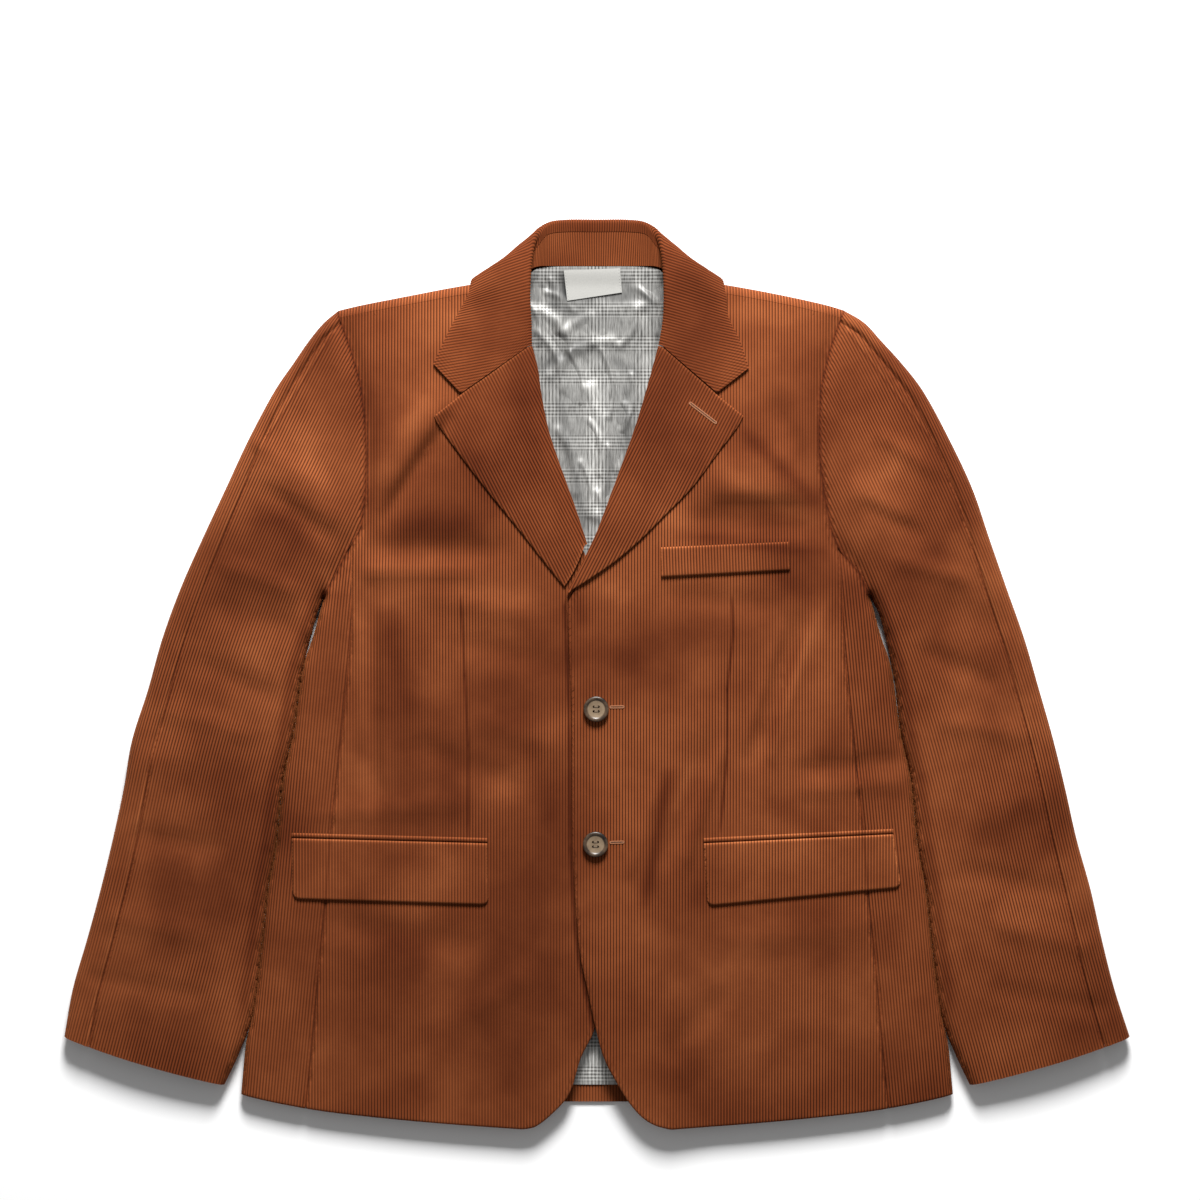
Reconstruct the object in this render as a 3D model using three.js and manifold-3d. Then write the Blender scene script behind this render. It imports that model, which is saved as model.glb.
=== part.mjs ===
// A single-breasted corduroy jacket laid flat on its back, buttoned, sleeves beside the body.
// Millimetres. +X is the wearer's left, +Y goes to the collar, +Z up from the floor.
// Each cloth piece is a wall: a grid of points on its outer face, moved in by the cloth's thickness.
import * as THREE from "three";
import { mergeVertices } from "three/addons/utils/BufferGeometryUtils.js";
import Module from "manifold-3d";

// Thicknesses
const CLOTH = 2.0; // corduroy with its backing
const FACING = 1.65; // each leaf of a lapel
const COLLAR = 2.0; // each leaf of the collar
const FLAP = 2.2; // pocket flap and welt, two layers
const LINING = 1.0;
const LABEL = 0.8;

// Spaces
const SEAM = 0.22; // each panel stops this far short of its seam line
const REST = 0.35; // what lies on a panel clears it by this much
const LAPEL_REST = 0.9; // lapel and collar clear the chest by this much
const OVERLAP = 2.5; // the left front's rise where it laps over the right one
const EDGE_ROUND = 11; // how far a folded side edge takes to turn over, seen from above
const UNDERARM_ROUND = 8; // the same at the bottom of the armhole
const SHOULDER_ROUND = 8.7; // the same along the shoulder, which belongs to the back
const SIDE_SEAM_UP = 50; // the side seam meets the armhole this far from the underarm

// Buttons
const BUTTON = { radius: 11, thickness: 4, rim: 2.4, dish: 0.9, hole: 1.1, spacing: 2.5 };
const BUTTONS_AT = { button_upper: [-0.7, -28.7], button_lower: [-1.3, -146] };

const table = (names, rows) => ({ names: names.split(" "), rows });

// The body going up from the hem: half its width and the height of its top face.
const BODY = table("y half top", [
  [-396, 314, 12], [-365, 310.6, 13], [-320, 306, 15], [-293, 300, 16], [-234, 292, 18],
  [-187, 287, 19], [-150, 280, 20], [-90, 273.5, 21], [-49, 264.5, 22], [8, 256, 23],
  [35, 246, 24], [67, 237, 25], [125, 237, 27], [200, 237, 28], [260, 237, 27],
  [311, 237, 24], [345, 237, 21],
]);
// The height of the seam between body and sleeve.
const ARMHOLE_HEIGHT = table("y top", [[67, 24], [125, 26], [200, 27], [260, 26], [311, 23.5]]);
// The sleeve from cuff (0) to armhole (1): its height, and the outer seam's distance from the edge.
const SLEEVE = table("along top seam", [
  [0, 16, 24], [0.15, 19, 23], [0.4, 22, 22], [0.6, 24, 21], [0.8, 27, 18.5], [0.93, 26, 14],
  [1, 24, 11.5],
]);

// Large folds: from, to, width, rise (a trough is negative), in the photo's own places.
const FOLDS = table("x1 y1 x2 y2 width rise", [
  [-200, 150, -140, 240, 24, 4], [-196, 118, -145, 200, 20, -3.5], [-206, 111, -84, 108, 18, -3.5],
  [-195, 75, -195, -108, 15, -2.5], [99, 164, 180, 164, 22, 3.5], [90, 135, 205, 128, 17, -3.5],
  [156, 233, 185, 164, 16, -3], [174, 45, 138, -75, 16, -3], [95, -60, 62, -160, 15, -2.5],
  [-290, 180, -208, 128, 20, 3], [-330, 60, -262, 40, 24, -2.5], [220, 162, 264, 136, 20, 3],
  [300, 60, 350, 40, 24, -2.5], [-400, -80, -330, -60, 26, 2], [330, -120, 400, -100, 26, 2],
]);

// Outlines of each side, x measured out from the centre line.
const SIDE_SEAM = [
  [254, -377.5], [246, -303], [242, -250], [236, -199], [231, -132], [225.5, -82], [219, -22],
  [215, 17], [213, 60],
];
const BODY_EDGE = [
  [310.6, -365.5], [306, -320], [300, -293], [292, -234], [287, -187], [280, -150], [273.5, -90],
  [264.5, -49], [256, 8], [247, 35], [238, 68],
];
const SLEEVE_INNER = [
  [325, -357], [315, -334], [307.5, -313], [303, -295], [294.3, -234], [289.3, -187], [282.3, -150],
  [275.8, -90], [267.3, -49], [261.5, -8], [260, 18], [256.5, 39], [249.5, 56], [238, 68],
];
const CUFF = [[464.6, -315], [440, -324], [404, -336], [356, -349.5], [325, -357]];
const HEM = [[64, -395.5], [128, -391], [174, -387], [230, -381], [254, -377.5]];
const SIDE_HEM = [[254, -377.5], [285, -371.5], [310.6, -365.5]];
const SIDES = {
  left: {
    sign: 1,
    armhole: [
      [215, 318.2], [212, 311], [202, 282], [195, 252], [193, 222], [193, 192], [197, 160],
      [203, 128], [210, 110], [227, 90], [238, 68],
    ],
    sleeveEdge: [
      [464.6, -315], [451, -273], [440, -230], [430, -186], [418, -143], [408, -99], [397.5, -56],
      [385, -12], [372.5, 31], [357, 75], [342, 118], [327, 162], [307, 205], [283, 249],
      [266, 271], [247, 292], [233, 307], [215, 318.2],
    ],
    shoulder: [[66, 338], [116, 331], [165, 322], [212, 311]],
    frontEdge: [
      [64, -395.5], [50, -391.5], [39, -384.5], [28.7, -373], [17.4, -355], [6, -333],
      [-1.7, -305], [-8, -275], [-14, -247], [-18, -208], [-21, -149], [-22, -33], [-25, 40],
      [-26, 62],
    ],
    insideRoll: [
      [-26, 62], [-21.2, 70.4], [-13.1, 85.5], [3.1, 118.8], [19.2, 161.1], [39.2, 217.3],
      [51.3, 258.5], [58.5, 286], [66, 312], [68, 328], [66, 338],
    ],
    roll: [[-26, 73], [-18, 88], [-2, 121], [14, 163], [34, 219], [46, 260], [53, 286]],
    lapelEdge: [
      [-22, 74], [-6, 84], [15.7, 99], [37.4, 117.5], [57.4, 137.5], [82, 162.7], [103.5, 191.4],
      [122, 216], [127, 225.3],
    ],
    lapelFoot: [[-24.5, 72], [-23, 73]],
    notch: [103, 244.5],
    corner: [132, 266],
    collarEdge: [[114, 312], [124, 290.5]],
    flap: { top: [[92.2, -145.3], [257.5, -137.5]], bottom: [[95.7, -200], [264.5, -184]] },
  },
  right: {
    sign: -1,
    armhole: [
      [225.5, 317.8], [224, 311], [214, 283], [206, 255], [202, 225], [200, 192], [201, 160],
      [205, 128], [214, 113], [226, 90], [238, 68],
    ],
    sleeveEdge: [
      [464.6, -315], [457, -273], [444.5, -230], [432.5, -186], [422, -143], [412.5, -99],
      [405, -56], [391, -12], [379, 31], [363, 75], [344, 118], [323.5, 162], [303.5, 205],
      [280, 249], [265, 271], [250.5, 292], [238, 307], [225.5, 317.8],
    ],
    shoulder: [[66, 338], [116, 331], [165, 322], [224, 311]],
    frontEdge: [
      [64, -395.5], [53.5, -393], [36, -379], [25.6, -367], [21, -356.7], [14, -333],
      [2.6, -309.7], [-8, -270], [-14, -230], [-19, -170], [-22, -100], [-22, -33], [-20, 30],
      [-12, 62],
    ],
    insideRoll: [
      [-12, 62], [-2, 80], [13.4, 112.3], [23.5, 143.2], [39.2, 187.2], [47.3, 212.7],
      [53.4, 243.6], [56.4, 265], [61.3, 286], [66, 312], [68, 328], [66, 338],
    ],
    roll: [[8.2, 114], [18.3, 145], [34, 189], [42, 214], [48, 244.5], [51, 266], [56, 286]],
    lapelEdge: [
      [28.5, 77], [46, 99], [68, 127], [94, 159], [120, 193], [137, 217], [141, 225],
    ],
    lapelFoot: [[15, 101.5], [21, 89]],
    notch: [117, 244.5],
    corner: [142, 270],
    collarEdge: [[121, 314], [131, 294]],
    flap: { top: [[94.8, -145.3], [265.4, -141]], bottom: [[94, -199], [264.5, -194]] },
  },
};
const BACK_NECK = [[66, 338], [62, 345], [52, 351.5], [30, 353.5], [0, 354]];
const LINING_EDGE = {
  side: [[248, -357], [236, -250], [224, -120], [208, 0], [200, 90], [180, 150], [176, 220],
    [183, 300]],
  top: [[-183, 300], [-120, 321], [-66, 333], [-50, 348], [0, 352], [50, 348], [66, 333],
    [120, 321], [183, 300]],
  hem: [[-248, -357], [0, -357.6], [248, -357]],
};
const LABEL_CORNERS = { top: [[-29, 353], [20, 355]], bottom: [[-26, 326.8], [21.8, 334]] };
const WELT = { top: [[54.8, 111.4], [166.5, 116.3]], bottom: [[55.2, 85.3], [167.5, 91.4]] };
const JET_DEPTH = 4.2;

// The collar's sections from the centre back to the front end: the fold, the outer edge, the neck
// seam, the fold's radius, how far the fall bows out, and the share of the inner leaf the fall takes.
const COLLAR_SECTIONS = table("fx fy fz ex ey ez nx ny nz radius bow share", [
  [0, 397.5, 11, 0, 339, 0, 0, 357, 8.4, 3.6, 0, 0.2],
  [26, 397.5, 11, 38, 339, 0, 24, 357, 8.4, 3.6, 0, 0.2],
  [42, 395, 12.5, 70, 340, 0.4, 42, 357, 9.4, 3.6, 1, 0.2],
  [51, 386, 16, 93, 342, 5, 50, 355.5, 11.6, 3.6, 4.5, 0.22],
  [55, 370, 20.5, 108, 346, 16.5, 56, 350, 14.5, 3.6, 4.5, 0.28],
  [57, 350, 25, 112, 331, 25, 61, 341, 18, 3.6, 2, 0.4],
  [57.5, 328, 27.5, 114, 312, 26.6, 63.5, 328, 22.5, 3.4, 1, 0.45],
  [56.5, 307, 27.8, 124, 290.5, 28.6, 64, 309, 24, 3.2, 0.6, 0.5],
  [53, 286, 28, 132, 266, 29.6, 58.5, 288, 25, 3, 0, 0.5],
]);

// Colours
const COLOURS = {
  corduroy: 0x763b20, satin: 0x94908a, label: 0xc9c8c3, horn: 0x84705f,
};
const materials = Object.fromEntries(Object.entries(COLOURS).map(([name, color]) => [name,
  new THREE.MeshStandardMaterial({ name, color, roughness: name === "corduroy" ? 0.9 : 0.45,
    metalness: 0 })]));

// Small sums
const clamp = (x, low, high) => Math.min(Math.max(x, low), high);
const mix = (a, b, t) => a + (b - a) * t;
const mix2 = (a, b, t) => [mix(a[0], b[0], t), mix(a[1], b[1], t)];
const steps = (n, from = 0, to = 1) => Array.from({ length: n + 1 }, (_, i) => mix(from, to, i / n));
function smooth(from, to, x) {
  const t = clamp((x - from) / (to - from), 0, 1);
  return t * t * (3 - 2 * t);
}

// A table's column at a key, as a smooth curve through its rows.
function read(t, column, key) {
  const k = t.names.indexOf(column);
  const rows = t.rows;
  const last = rows.length - 1;
  if (key <= rows[0][0]) return rows[0][k];
  if (key >= rows[last][0]) return rows[last][k];
  let i = 0;
  while (key > rows[i + 1][0]) i++;
  const slope = (j) => {
    const a = rows[Math.max(j - 1, 0)];
    const b = rows[Math.min(j + 1, last)];
    return (b[k] - a[k]) / (b[0] - a[0]);
  };
  const h = rows[i + 1][0] - rows[i][0];
  const x = (key - rows[i][0]) / h;
  return rows[i][k] * (1 + 2 * x) * (1 - x) ** 2 + slope(i) * h * x * (1 - x) ** 2
    + rows[i + 1][k] * x * x * (3 - 2 * x) + slope(i + 1) * h * x * x * (x - 1);
}

// A curve through points in plan; at() takes the share of its length.
function path(points) {
  if (points.length === 2) {
    const [a, b] = points;
    return { length: Math.hypot(b[0] - a[0], b[1] - a[1]), at: (s) => mix2(a, b, s) };
  }
  const curve = new THREE.CatmullRomCurve3(points.map(([x, y]) => new THREE.Vector3(x, y, 0)),
    false, "centripetal");
  curve.arcLengthDivisions = 400;
  return {
    length: curve.getLength(),
    at: (s) => {
      const p = curve.getPointAt(clamp(s, 0, 1));
      return [p.x, p.y];
    },
  };
}
const portion = (p, from, to) => ({
  length: p.length * Math.abs(to - from), at: (s) => p.at(mix(from, to, s)),
});
function joined(...paths) {
  const length = paths.reduce((sum, p) => sum + p.length, 0);
  return {
    length,
    at: (s) => {
      let left = s * length;
      for (const p of paths) {
        if (left <= p.length || p === paths.at(-1)) return p.at(left / p.length);
        left -= p.length;
      }
    },
  };
}

// A patch in plan between four curves: u along bottom and top, v along left and right. The top
// curve's shape dies away from it faster the larger topHold is.
function patch(bottom, top, left, right, topHold = 1) {
  const ends = [bottom.at(0), bottom.at(1), top.at(0), top.at(1)];
  return (u, v) => {
    const [b, t, l, r] = [bottom.at(u), top.at(u), left.at(v), right.at(v)];
    return [0, 1].map((k) => mix(l[k], r[k], u)
      + (1 - v) * (b[k] - mix(ends[0][k], ends[1][k], u))
      + v ** topHold * (t[k] - mix(ends[2][k], ends[3][k], u)));
  };
}

// The jacket's heights
const armholeSamples = {};
for (const [name, side] of Object.entries(SIDES)) {
  side.name = name;
  side.hoop = path(side.armhole);
  armholeSamples[name] = steps(60).map((s) => side.hoop.at(s));
}
function toArmhole(side, x, y) {
  return Math.min(...armholeSamples[side.name].map((p) => Math.hypot(p[0] - x, p[1] - y)));
}
// Large folds at a place given in the jacket's own coordinates.
function folds(x, y) {
  let rise = 0;
  for (const [x1, y1, x2, y2, width, height] of FOLDS.rows) {
    const [dx, dy] = [x2 - x1, y2 - y1];
    const t = ((x - x1) * dx + (y - y1) * dy) / (dx * dx + dy * dy);
    if (t < -0.3 || t > 1.3) continue;
    const off = Math.hypot(x - x1 - clamp(t, 0, 1) * dx, y - y1 - clamp(t, 0, 1) * dy);
    rise += height * Math.exp(-((off / width) ** 2) * 2.2) * smooth(-0.3, 0.2, t)
      * (1 - smooth(0.8, 1.3, t));
  }
  return rise;
}
function seamedHeight(side, x, y, height) {
  const away = toArmhole(side, x, y);
  return mix(read(ARMHOLE_HEIGHT, "top", y), height, smooth(0, 30, away))
    - 3 * Math.exp(-((away / 7) ** 2));
}
function bodyTop(side, x, y) {
  const crown = 3 * (1 - (x / read(BODY, "half", y)) ** 2) * (1 - smooth(180, 260, y));
  const quiet = smooth(0, 26, x + 30);
  const height = read(BODY, "top", y) + crown + folds(side.sign * x, y) * quiet;
  const lap = side.name === "left"
    ? OVERLAP * (1 - smooth(45, 110, x)) * (1 - smooth(120, 180, y)) : 0;
  return seamedHeight(side, x, y, height) + lap;
}
function sleeveTop(side, x, y, across, along) {
  const height = read(SLEEVE, "top", along) + 2.5 * Math.sin(Math.PI * clamp(across, 0, 1))
    + folds(side.sign * x, y);
  return seamedHeight(side, x, y, height);
}
// The back rises a little over the part of the collar folded beneath it.
const backUnder = (x, y) => 3.3 * smooth(284, 334, y) * (1 - smooth(97, 114, Math.abs(x)));

// Solids
const V = (x, y, z) => new THREE.Vector3(x, y, z);
// A closed wall from a grid of points on its outer face; out = 1 if across x along points outward.
function wall(grid, thickness, out = 1) {
  const [rows, cols] = [grid.length, grid[0].length];
  const at = (i, j) => grid[clamp(i, 0, rows - 1)][clamp(j, 0, cols - 1)];
  const positions = [];
  for (const inner of [0, 1])
    for (let i = 0; i < rows; i++)
      for (let j = 0; j < cols; j++) {
        const normal = at(i, j + 1).clone().sub(at(i, j - 1))
          .cross(at(i + 1, j).clone().sub(at(i - 1, j))).normalize().multiplyScalar(out);
        const p = at(i, j).clone().addScaledVector(normal, -inner * thickness);
        positions.push(p.x, p.y, p.z);
      }
  const outer = (i, j) => i * cols + j;
  const inner = (i, j) => rows * cols + i * cols + j;
  const index = [];
  const quad = (a, b, c, d) => index.push(a, b, c, a, c, d);
  for (let i = 0; i + 1 < rows; i++)
    for (let j = 0; j + 1 < cols; j++) {
      quad(outer(i, j), outer(i, j + 1), outer(i + 1, j + 1), outer(i + 1, j));
      quad(inner(i, j), inner(i + 1, j), inner(i + 1, j + 1), inner(i, j + 1));
    }
  for (let j = 0; j + 1 < cols; j++) {
    quad(inner(0, j), inner(0, j + 1), outer(0, j + 1), outer(0, j));
    quad(outer(rows - 1, j), outer(rows - 1, j + 1), inner(rows - 1, j + 1), inner(rows - 1, j));
  }
  for (let i = 0; i + 1 < rows; i++) {
    quad(outer(i, 0), outer(i + 1, 0), inner(i + 1, 0), inner(i, 0));
    quad(inner(i, cols - 1), inner(i + 1, cols - 1), outer(i + 1, cols - 1), outer(i, cols - 1));
  }
  return facingOut(positions, index);
}
// Turns every face round if the volume they enclose comes out negative.
function facingOut(positions, index) {
  let volume = 0;
  const at = (k) => V(positions[3 * k], positions[3 * k + 1], positions[3 * k + 2]);
  for (let k = 0; k < index.length; k += 3)
    volume += at(index[k]).dot(at(index[k + 1]).cross(at(index[k + 2])));
  if (volume < 0)
    for (let k = 0; k < index.length; k += 3)
      [index[k + 1], index[k + 2]] = [index[k + 2], index[k + 1]];
  const geometry = new THREE.BufferGeometry();
  geometry.setAttribute("position", new THREE.Float32BufferAttribute(positions, 3));
  geometry.setIndex(index);
  geometry.computeVertexNormals();
  return geometry;
}
const jacket = new THREE.Group();
function add(name, geometry, material) {
  const mesh = new THREE.Mesh(geometry, materials[material]);
  mesh.name = name;
  jacket.add(mesh);
}
const sided = (side, grid) => grid.map((row) => row.map((p) => V(side.sign * p.x, p.y, p.z)));

// Panels of each side. Shared stops along a seam keep both its panels on the same corners.
const HEM_TO_ARMHOLE = steps(16).map((s) => s ** 1.2);
const ROUND = steps(5, 0, Math.PI);
for (const side of Object.values(SIDES)) {
  const hoop = side.hoop;
  const full = hoop.length;
  const roundTop = Math.hypot(side.armhole[0][0] - side.armhole[1][0],
    side.armhole[0][1] - side.armhole[1][1]);
  const seamAt = full - SIDE_SEAM_UP;
  const upper = portion(hoop, seamAt / full, roundTop / full);
  const lower = portion(hoop, seamAt / full, 1);
  const sideSeam = path([...SIDE_SEAM, hoop.at(seamAt / full)]);
  side.sideSeam = sideSeam;
  side.upper = upper;

  // Front: from the front edge and lapel roll across to the side seam and armhole.
  const outerEdge = joined(sideSeam, upper);
  const innerEdge = joined(path(side.frontEdge), path(side.insideRoll));
  const front = patch(path(HEM), path(side.shoulder), innerEdge, outerEdge);
  const ups = [...HEM_TO_ARMHOLE.map((s) => s * sideSeam.length),
    ...steps(8).slice(1).map((s) => sideSeam.length + s * upper.length)]
    .map((d) => d / outerEdge.length);
  ups[ups.length - 1] -= SEAM / outerEdge.length;
  side.frontUps = ups;
  const widest = 250;
  const acrossFront = steps(11, 0, 1 - SEAM / widest);
  const frontGrid = ups.map((v) => acrossFront.map((u) => {
    const [x, y] = front(u, v);
    return V(x, y, bodyTop(side, x, y));
  }));
  add(`front_${side.name}`, wall(sided(side, frontGrid), CLOTH, side.sign), "corduroy");

  // Side panel: from the front's seam over the body's edge and back beneath to the same line.
  const underarmFlat = SIDE_SEAM_UP - UNDERARM_ROUND;
  const plan = patch(path(SIDE_HEM), lower, sideSeam, path(BODY_EDGE));
  const sideUps = HEM_TO_ARMHOLE.slice();
  sideUps[16] -= SEAM / sideSeam.length;
  const sideGrid = sideUps.map((v) => {
    let width = 0;
    for (const u of steps(8).slice(1)) {
      const [a, b] = [plan(u - 0.125, v), plan(u, v)];
      width += Math.hypot(a[0] - b[0], a[1] - b[1]);
    }
    const round = mix(EDGE_ROUND, UNDERARM_ROUND, smooth(0.75, 1, v));
    const flat = steps(3).map((t) => mix(SEAM, width - round, t));
    const top = flat.map((d) => {
      const [x, y] = plan(d / width, v);
      return V(x, y, bodyTop(side, x, y));
    });
    const edge = top.at(-1).z;
    const turn = ROUND.slice(1, -1).map((angle) => {
      const [x, y] = plan((width - round + round * Math.sin(angle)) / width, v);
      return V(x, y, edge / 2 + (edge / 2) * Math.cos(angle));
    });
    const under = flat.slice().reverse().map((d) => {
      const [x, y] = plan(d / width, v);
      return V(x, y, 0);
    });
    return [...top, ...turn, ...under];
  });
  add(`side_${side.name}`, wall(sided(side, sideGrid), CLOTH, side.sign), "corduroy");

  // Sleeve: rings from cuff to armhole, split into a top and an under piece.
  const outside = path(side.sleeveEdge);
  const cap = { at: (v) => outside.at(0.72 * v + 0.28 * v ** 6) };
  const sleeve = patch(path(CUFF), hoop, cap, path(SLEEVE_INNER), 6);
  const alongSleeve = steps(15).map((s) => 1 - (1 - s) ** 1.5);
  alongSleeve[15] = 1 - SEAM / 450;
  const reach = full - roundTop - UNDERARM_ROUND;
  const shares = [...steps(8, roundTop, seamAt), ...steps(3, seamAt, full - UNDERARM_ROUND).slice(1)]
    .map((d) => (d - roundTop) / reach);
  const rings = alongSleeve.map((v) => {
    let width = 0;
    for (const u of steps(16).slice(1)) {
      const [a, b] = [sleeve(u - 1 / 16, v), sleeve(u, v)];
      width += Math.hypot(a[0] - b[0], a[1] - b[1]);
    }
    const outerRound = mix(EDGE_ROUND - 1, roundTop, smooth(0.8, 1, v));
    const innerRound = mix(EDGE_ROUND - 1, UNDERARM_ROUND, smooth(0.8, 1, v));
    const flat = width - outerRound - innerRound;
    const topAt = (t) => {
      const u = (outerRound + t * flat) / width;
      const [x, y] = sleeve(u, v);
      return V(x, y, sleeveTop(side, x, y, t, v));
    };
    const underAt = (t) => {
      const [x, y] = sleeve((outerRound + t * flat) / width, v);
      return V(x, y, 0);
    };
    const turn = (u0, sign, round, height) => ROUND.slice(1, -1).map((angle) => {
      const [x, y] = sleeve((u0 + sign * round * Math.sin(angle)) / width, v);
      return V(x, y, height / 2 + (height / 2) * Math.cos(angle));
    });
    const seam = (read(SLEEVE, "seam", v) - outerRound) / flat;
    const gap = SEAM / flat;
    const beneath = shares[10];
    return {
      top: [topAt(seam + gap), ...shares.slice(2).map((t) => topAt(Math.max(t, seam + 2 * gap))),
        ...turn(width - innerRound, 1, innerRound, topAt(1).z), underAt(1),
        underAt(beneath + gap)],
      under: [underAt(beneath - gap), ...shares.slice(0, 10).reverse().map(underAt),
        ...turn(outerRound, -1, outerRound, topAt(0).z).reverse(), topAt(0),
        topAt(seam - gap)],
    };
  });
  add(`top_sleeve_${side.name}`, wall(sided(side, rings.map((r) => r.top)), CLOTH, -side.sign),
    "corduroy");
  add(`under_sleeve_${side.name}`, wall(sided(side, rings.map((r) => r.under)), CLOTH, -side.sign),
    "corduroy");

  // Lapel: the front's own cloth rolled over at the roll line, then lying on the chest.
  const roll = path(side.roll);
  const rollAt = (v) => {
    const f = roll.at(v);
    const [a, b] = [roll.at(v - 0.01), roll.at(v + 0.01)];
    const length = Math.hypot(b[0] - a[0], b[1] - a[1]);
    return { f, e: [-(b[1] - a[1]) / length, (b[0] - a[0]) / length] };
  };
  const radiusAt = (v) => mix(2.3, 3.3, smooth(0, 0.8, v));
  const axis = { at: (v) => {
    const { f, e } = rollAt(v);
    return [f[0] - e[0] * radiusAt(v), f[1] - e[1] * radiusAt(v)];
  } };
  const gorge = joined(path([axis.at(1), side.notch]), path([side.notch, side.lapelEdge.at(-1)]));
  const foot = path([axis.at(0), ...side.lapelFoot, side.lapelEdge[0]]);
  const leaf = patch(foot, gorge, axis, path(side.lapelEdge));
  const lapelGrid = steps(13, 0, 1 - 0.5 / roll.length).map((v) => {
    const { f, e } = rollAt(v);
    const radius = radiusAt(v);
    const c = [f[0] - e[0] * radius, f[1] - e[1] * radius];
    const level = bodyTop(side, f[0] - e[0] * 6, f[1] - e[1] * 6);
    const low = level - FACING - 0.15;
    const start = [f[0] - e[0] * 4.7, f[1] - e[1] * 4.7];
    const arc = steps(6, -Math.PI / 2, Math.PI / 2).map((angle) => V(
      c[0] + e[0] * radius * Math.cos(angle), c[1] + e[1] * radius * Math.cos(angle),
      low + radius + radius * Math.sin(angle)));
    const upper = steps(7).slice(1).map((t) => {
      const [x, y] = leaf(t, v);
      const lying = bodyTop(side, x, y) + LAPEL_REST + FACING;
      const away = Math.hypot(x - c[0], y - c[1]);
      return V(x, y, lying + (low + 2 * radius - level - LAPEL_REST - FACING + 1.2 * smooth(0, 9, away))
        * Math.exp(-((away / 24) ** 2)));
    });
    return [V(start[0], start[1], low), ...arc, ...upper];
  });
  add(`lapel_${side.name}`, wall(sided(side, lapelGrid), FACING, side.sign), "corduroy");

  // Pocket flap and the jetted strip it hangs from.
  const lying = (corners, name, n, m, thick) => {
    const grid = steps(m).map((v) => steps(n).map((u) => {
      const [x, y] = mix2(mix2(...corners.bottom, u), mix2(...corners.top, u), v);
      return V(x, y, bodyTop(side, x, y) + REST + thick);
    }));
    add(name, wall(sided(side, grid), thick, side.sign), "corduroy");
  };
  lying(side.flap, `flap_${side.name}`, 8, 2, FLAP);
  const above = (d) => side.flap.top.map(([x, y]) => [x, y + d]);
  lying({ top: above(0.4 + JET_DEPTH), bottom: above(0.4) }, `jet_${side.name}`, 8, 1, FLAP - 0.6);
  if (side.name === "left") lying(WELT, "chest_welt", 8, 2, FLAP);
}

// Back: flat on the floor, turning up over both shoulders to the shoulder seams.
{
  const { left, right } = SIDES;
  const mirror = (points) => points.map(([x, y]) => [-x, y]);
  const outerOf = (side) => {
    const both = joined(side.sideSeam, side.upper);
    return { length: both.length, at: (s) => {
      const [x, y] = both.at(s);
      return [side.sign * (x - SEAM), y];
    } };
  };
  const lines = [path(mirror(right.shoulder).reverse()),
    path([...mirror(BACK_NECK), ...BACK_NECK.slice(0, -1).reverse()]), path(left.shoulder)];
  const spring = joined(...lines);
  const [neckFrom, neckTo] = [lines[0].length, lines[0].length + lines[1].length]
    .map((d) => d / spring.length);
  const columns = [...steps(6, 0, neckFrom), ...steps(6, neckFrom, neckTo).slice(1),
    ...steps(6, neckTo, 1).slice(1)];
  const hem = path([[-254, -377], [-200, -374.5], [-120, -373], [0, -372.4], [120, -373],
    [200, -374.5], [254, -377]]);
  const plan = patch(hem, spring, outerOf(right), outerOf(left));
  const grid = left.frontUps.map((v) => columns.map((u) => {
    const [x, y] = plan(u, v);
    return V(x, y, backUnder(x, y));
  }));
  const last = grid.at(-1);
  const turned = [...steps(5).slice(1), 2].map((stop) => last.map((p) => {
    const share = Math.min(stop, 1);
    const side = p.x < 0 ? right : left;
    const x = Math.abs(p.x);
    const wrap = Math.PI * smooth(44, 74, x) * share;
    const ends = side.armhole;
    const toEnd = smooth(150, ends[1][0], x);
    const away = [mix(1.8, ends[0][0] - ends[1][0] - 0.7, toEnd),
      mix(8.5, ends[0][1] - ends[1][1], toEnd)];
    const turn = Math.sin(wrap);
    const rise = (bodyTop(side, x, p.y - 0.2) - p.z) / 2;
    const out = stop * 0.6 + (stop > 1 ? 0 : 0.6 * share) - (stop > 1 ? 1 : 0);
    const flat = (1 - smooth(44, 74, x)) * stop;
    return V(p.x + side.sign * away[0] * turn, p.y + away[1] * turn + mix(out, flat, flat / stop),
      p.z + rise * (1 - Math.cos(wrap)) + flat * 0.1);
  }));
  add("back", wall([...grid, ...turned], CLOTH, -1), "corduroy");

  // Lining over the inside of the back.
  const edge = path(LINING_EDGE.side);
  const sideways = (sign) => ({ at: (s) => [sign * edge.at(s)[0], edge.at(s)[1]] });
  const inside = patch(path(LINING_EDGE.hem), path(LINING_EDGE.top), sideways(-1), sideways(1));
  const lining = steps(14).map((s) => 1 - (1 - s) ** 1.3).map((v) => steps(10).map((u) => {
    const [x, y] = inside(u, v);
    return V(x, y, backUnder(Math.max(Math.abs(x) - 18, 0), y + 10) + CLOTH + 0.4 + LINING);
  }));
  add("lining_back", wall(lining, LINING, 1), "satin");
  const label = steps(2).map((v) => steps(4).map((u) => {
    const [x, y] = mix2(mix2(...LABEL_CORNERS.bottom, u), mix2(...LABEL_CORNERS.top, u), v);
    return V(x, y, backUnder(0, 400) + CLOTH + 0.4 + LINING + 0.3 + LABEL);
  }));
  add("label", wall(label, LABEL, 1), "label");
}

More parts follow.
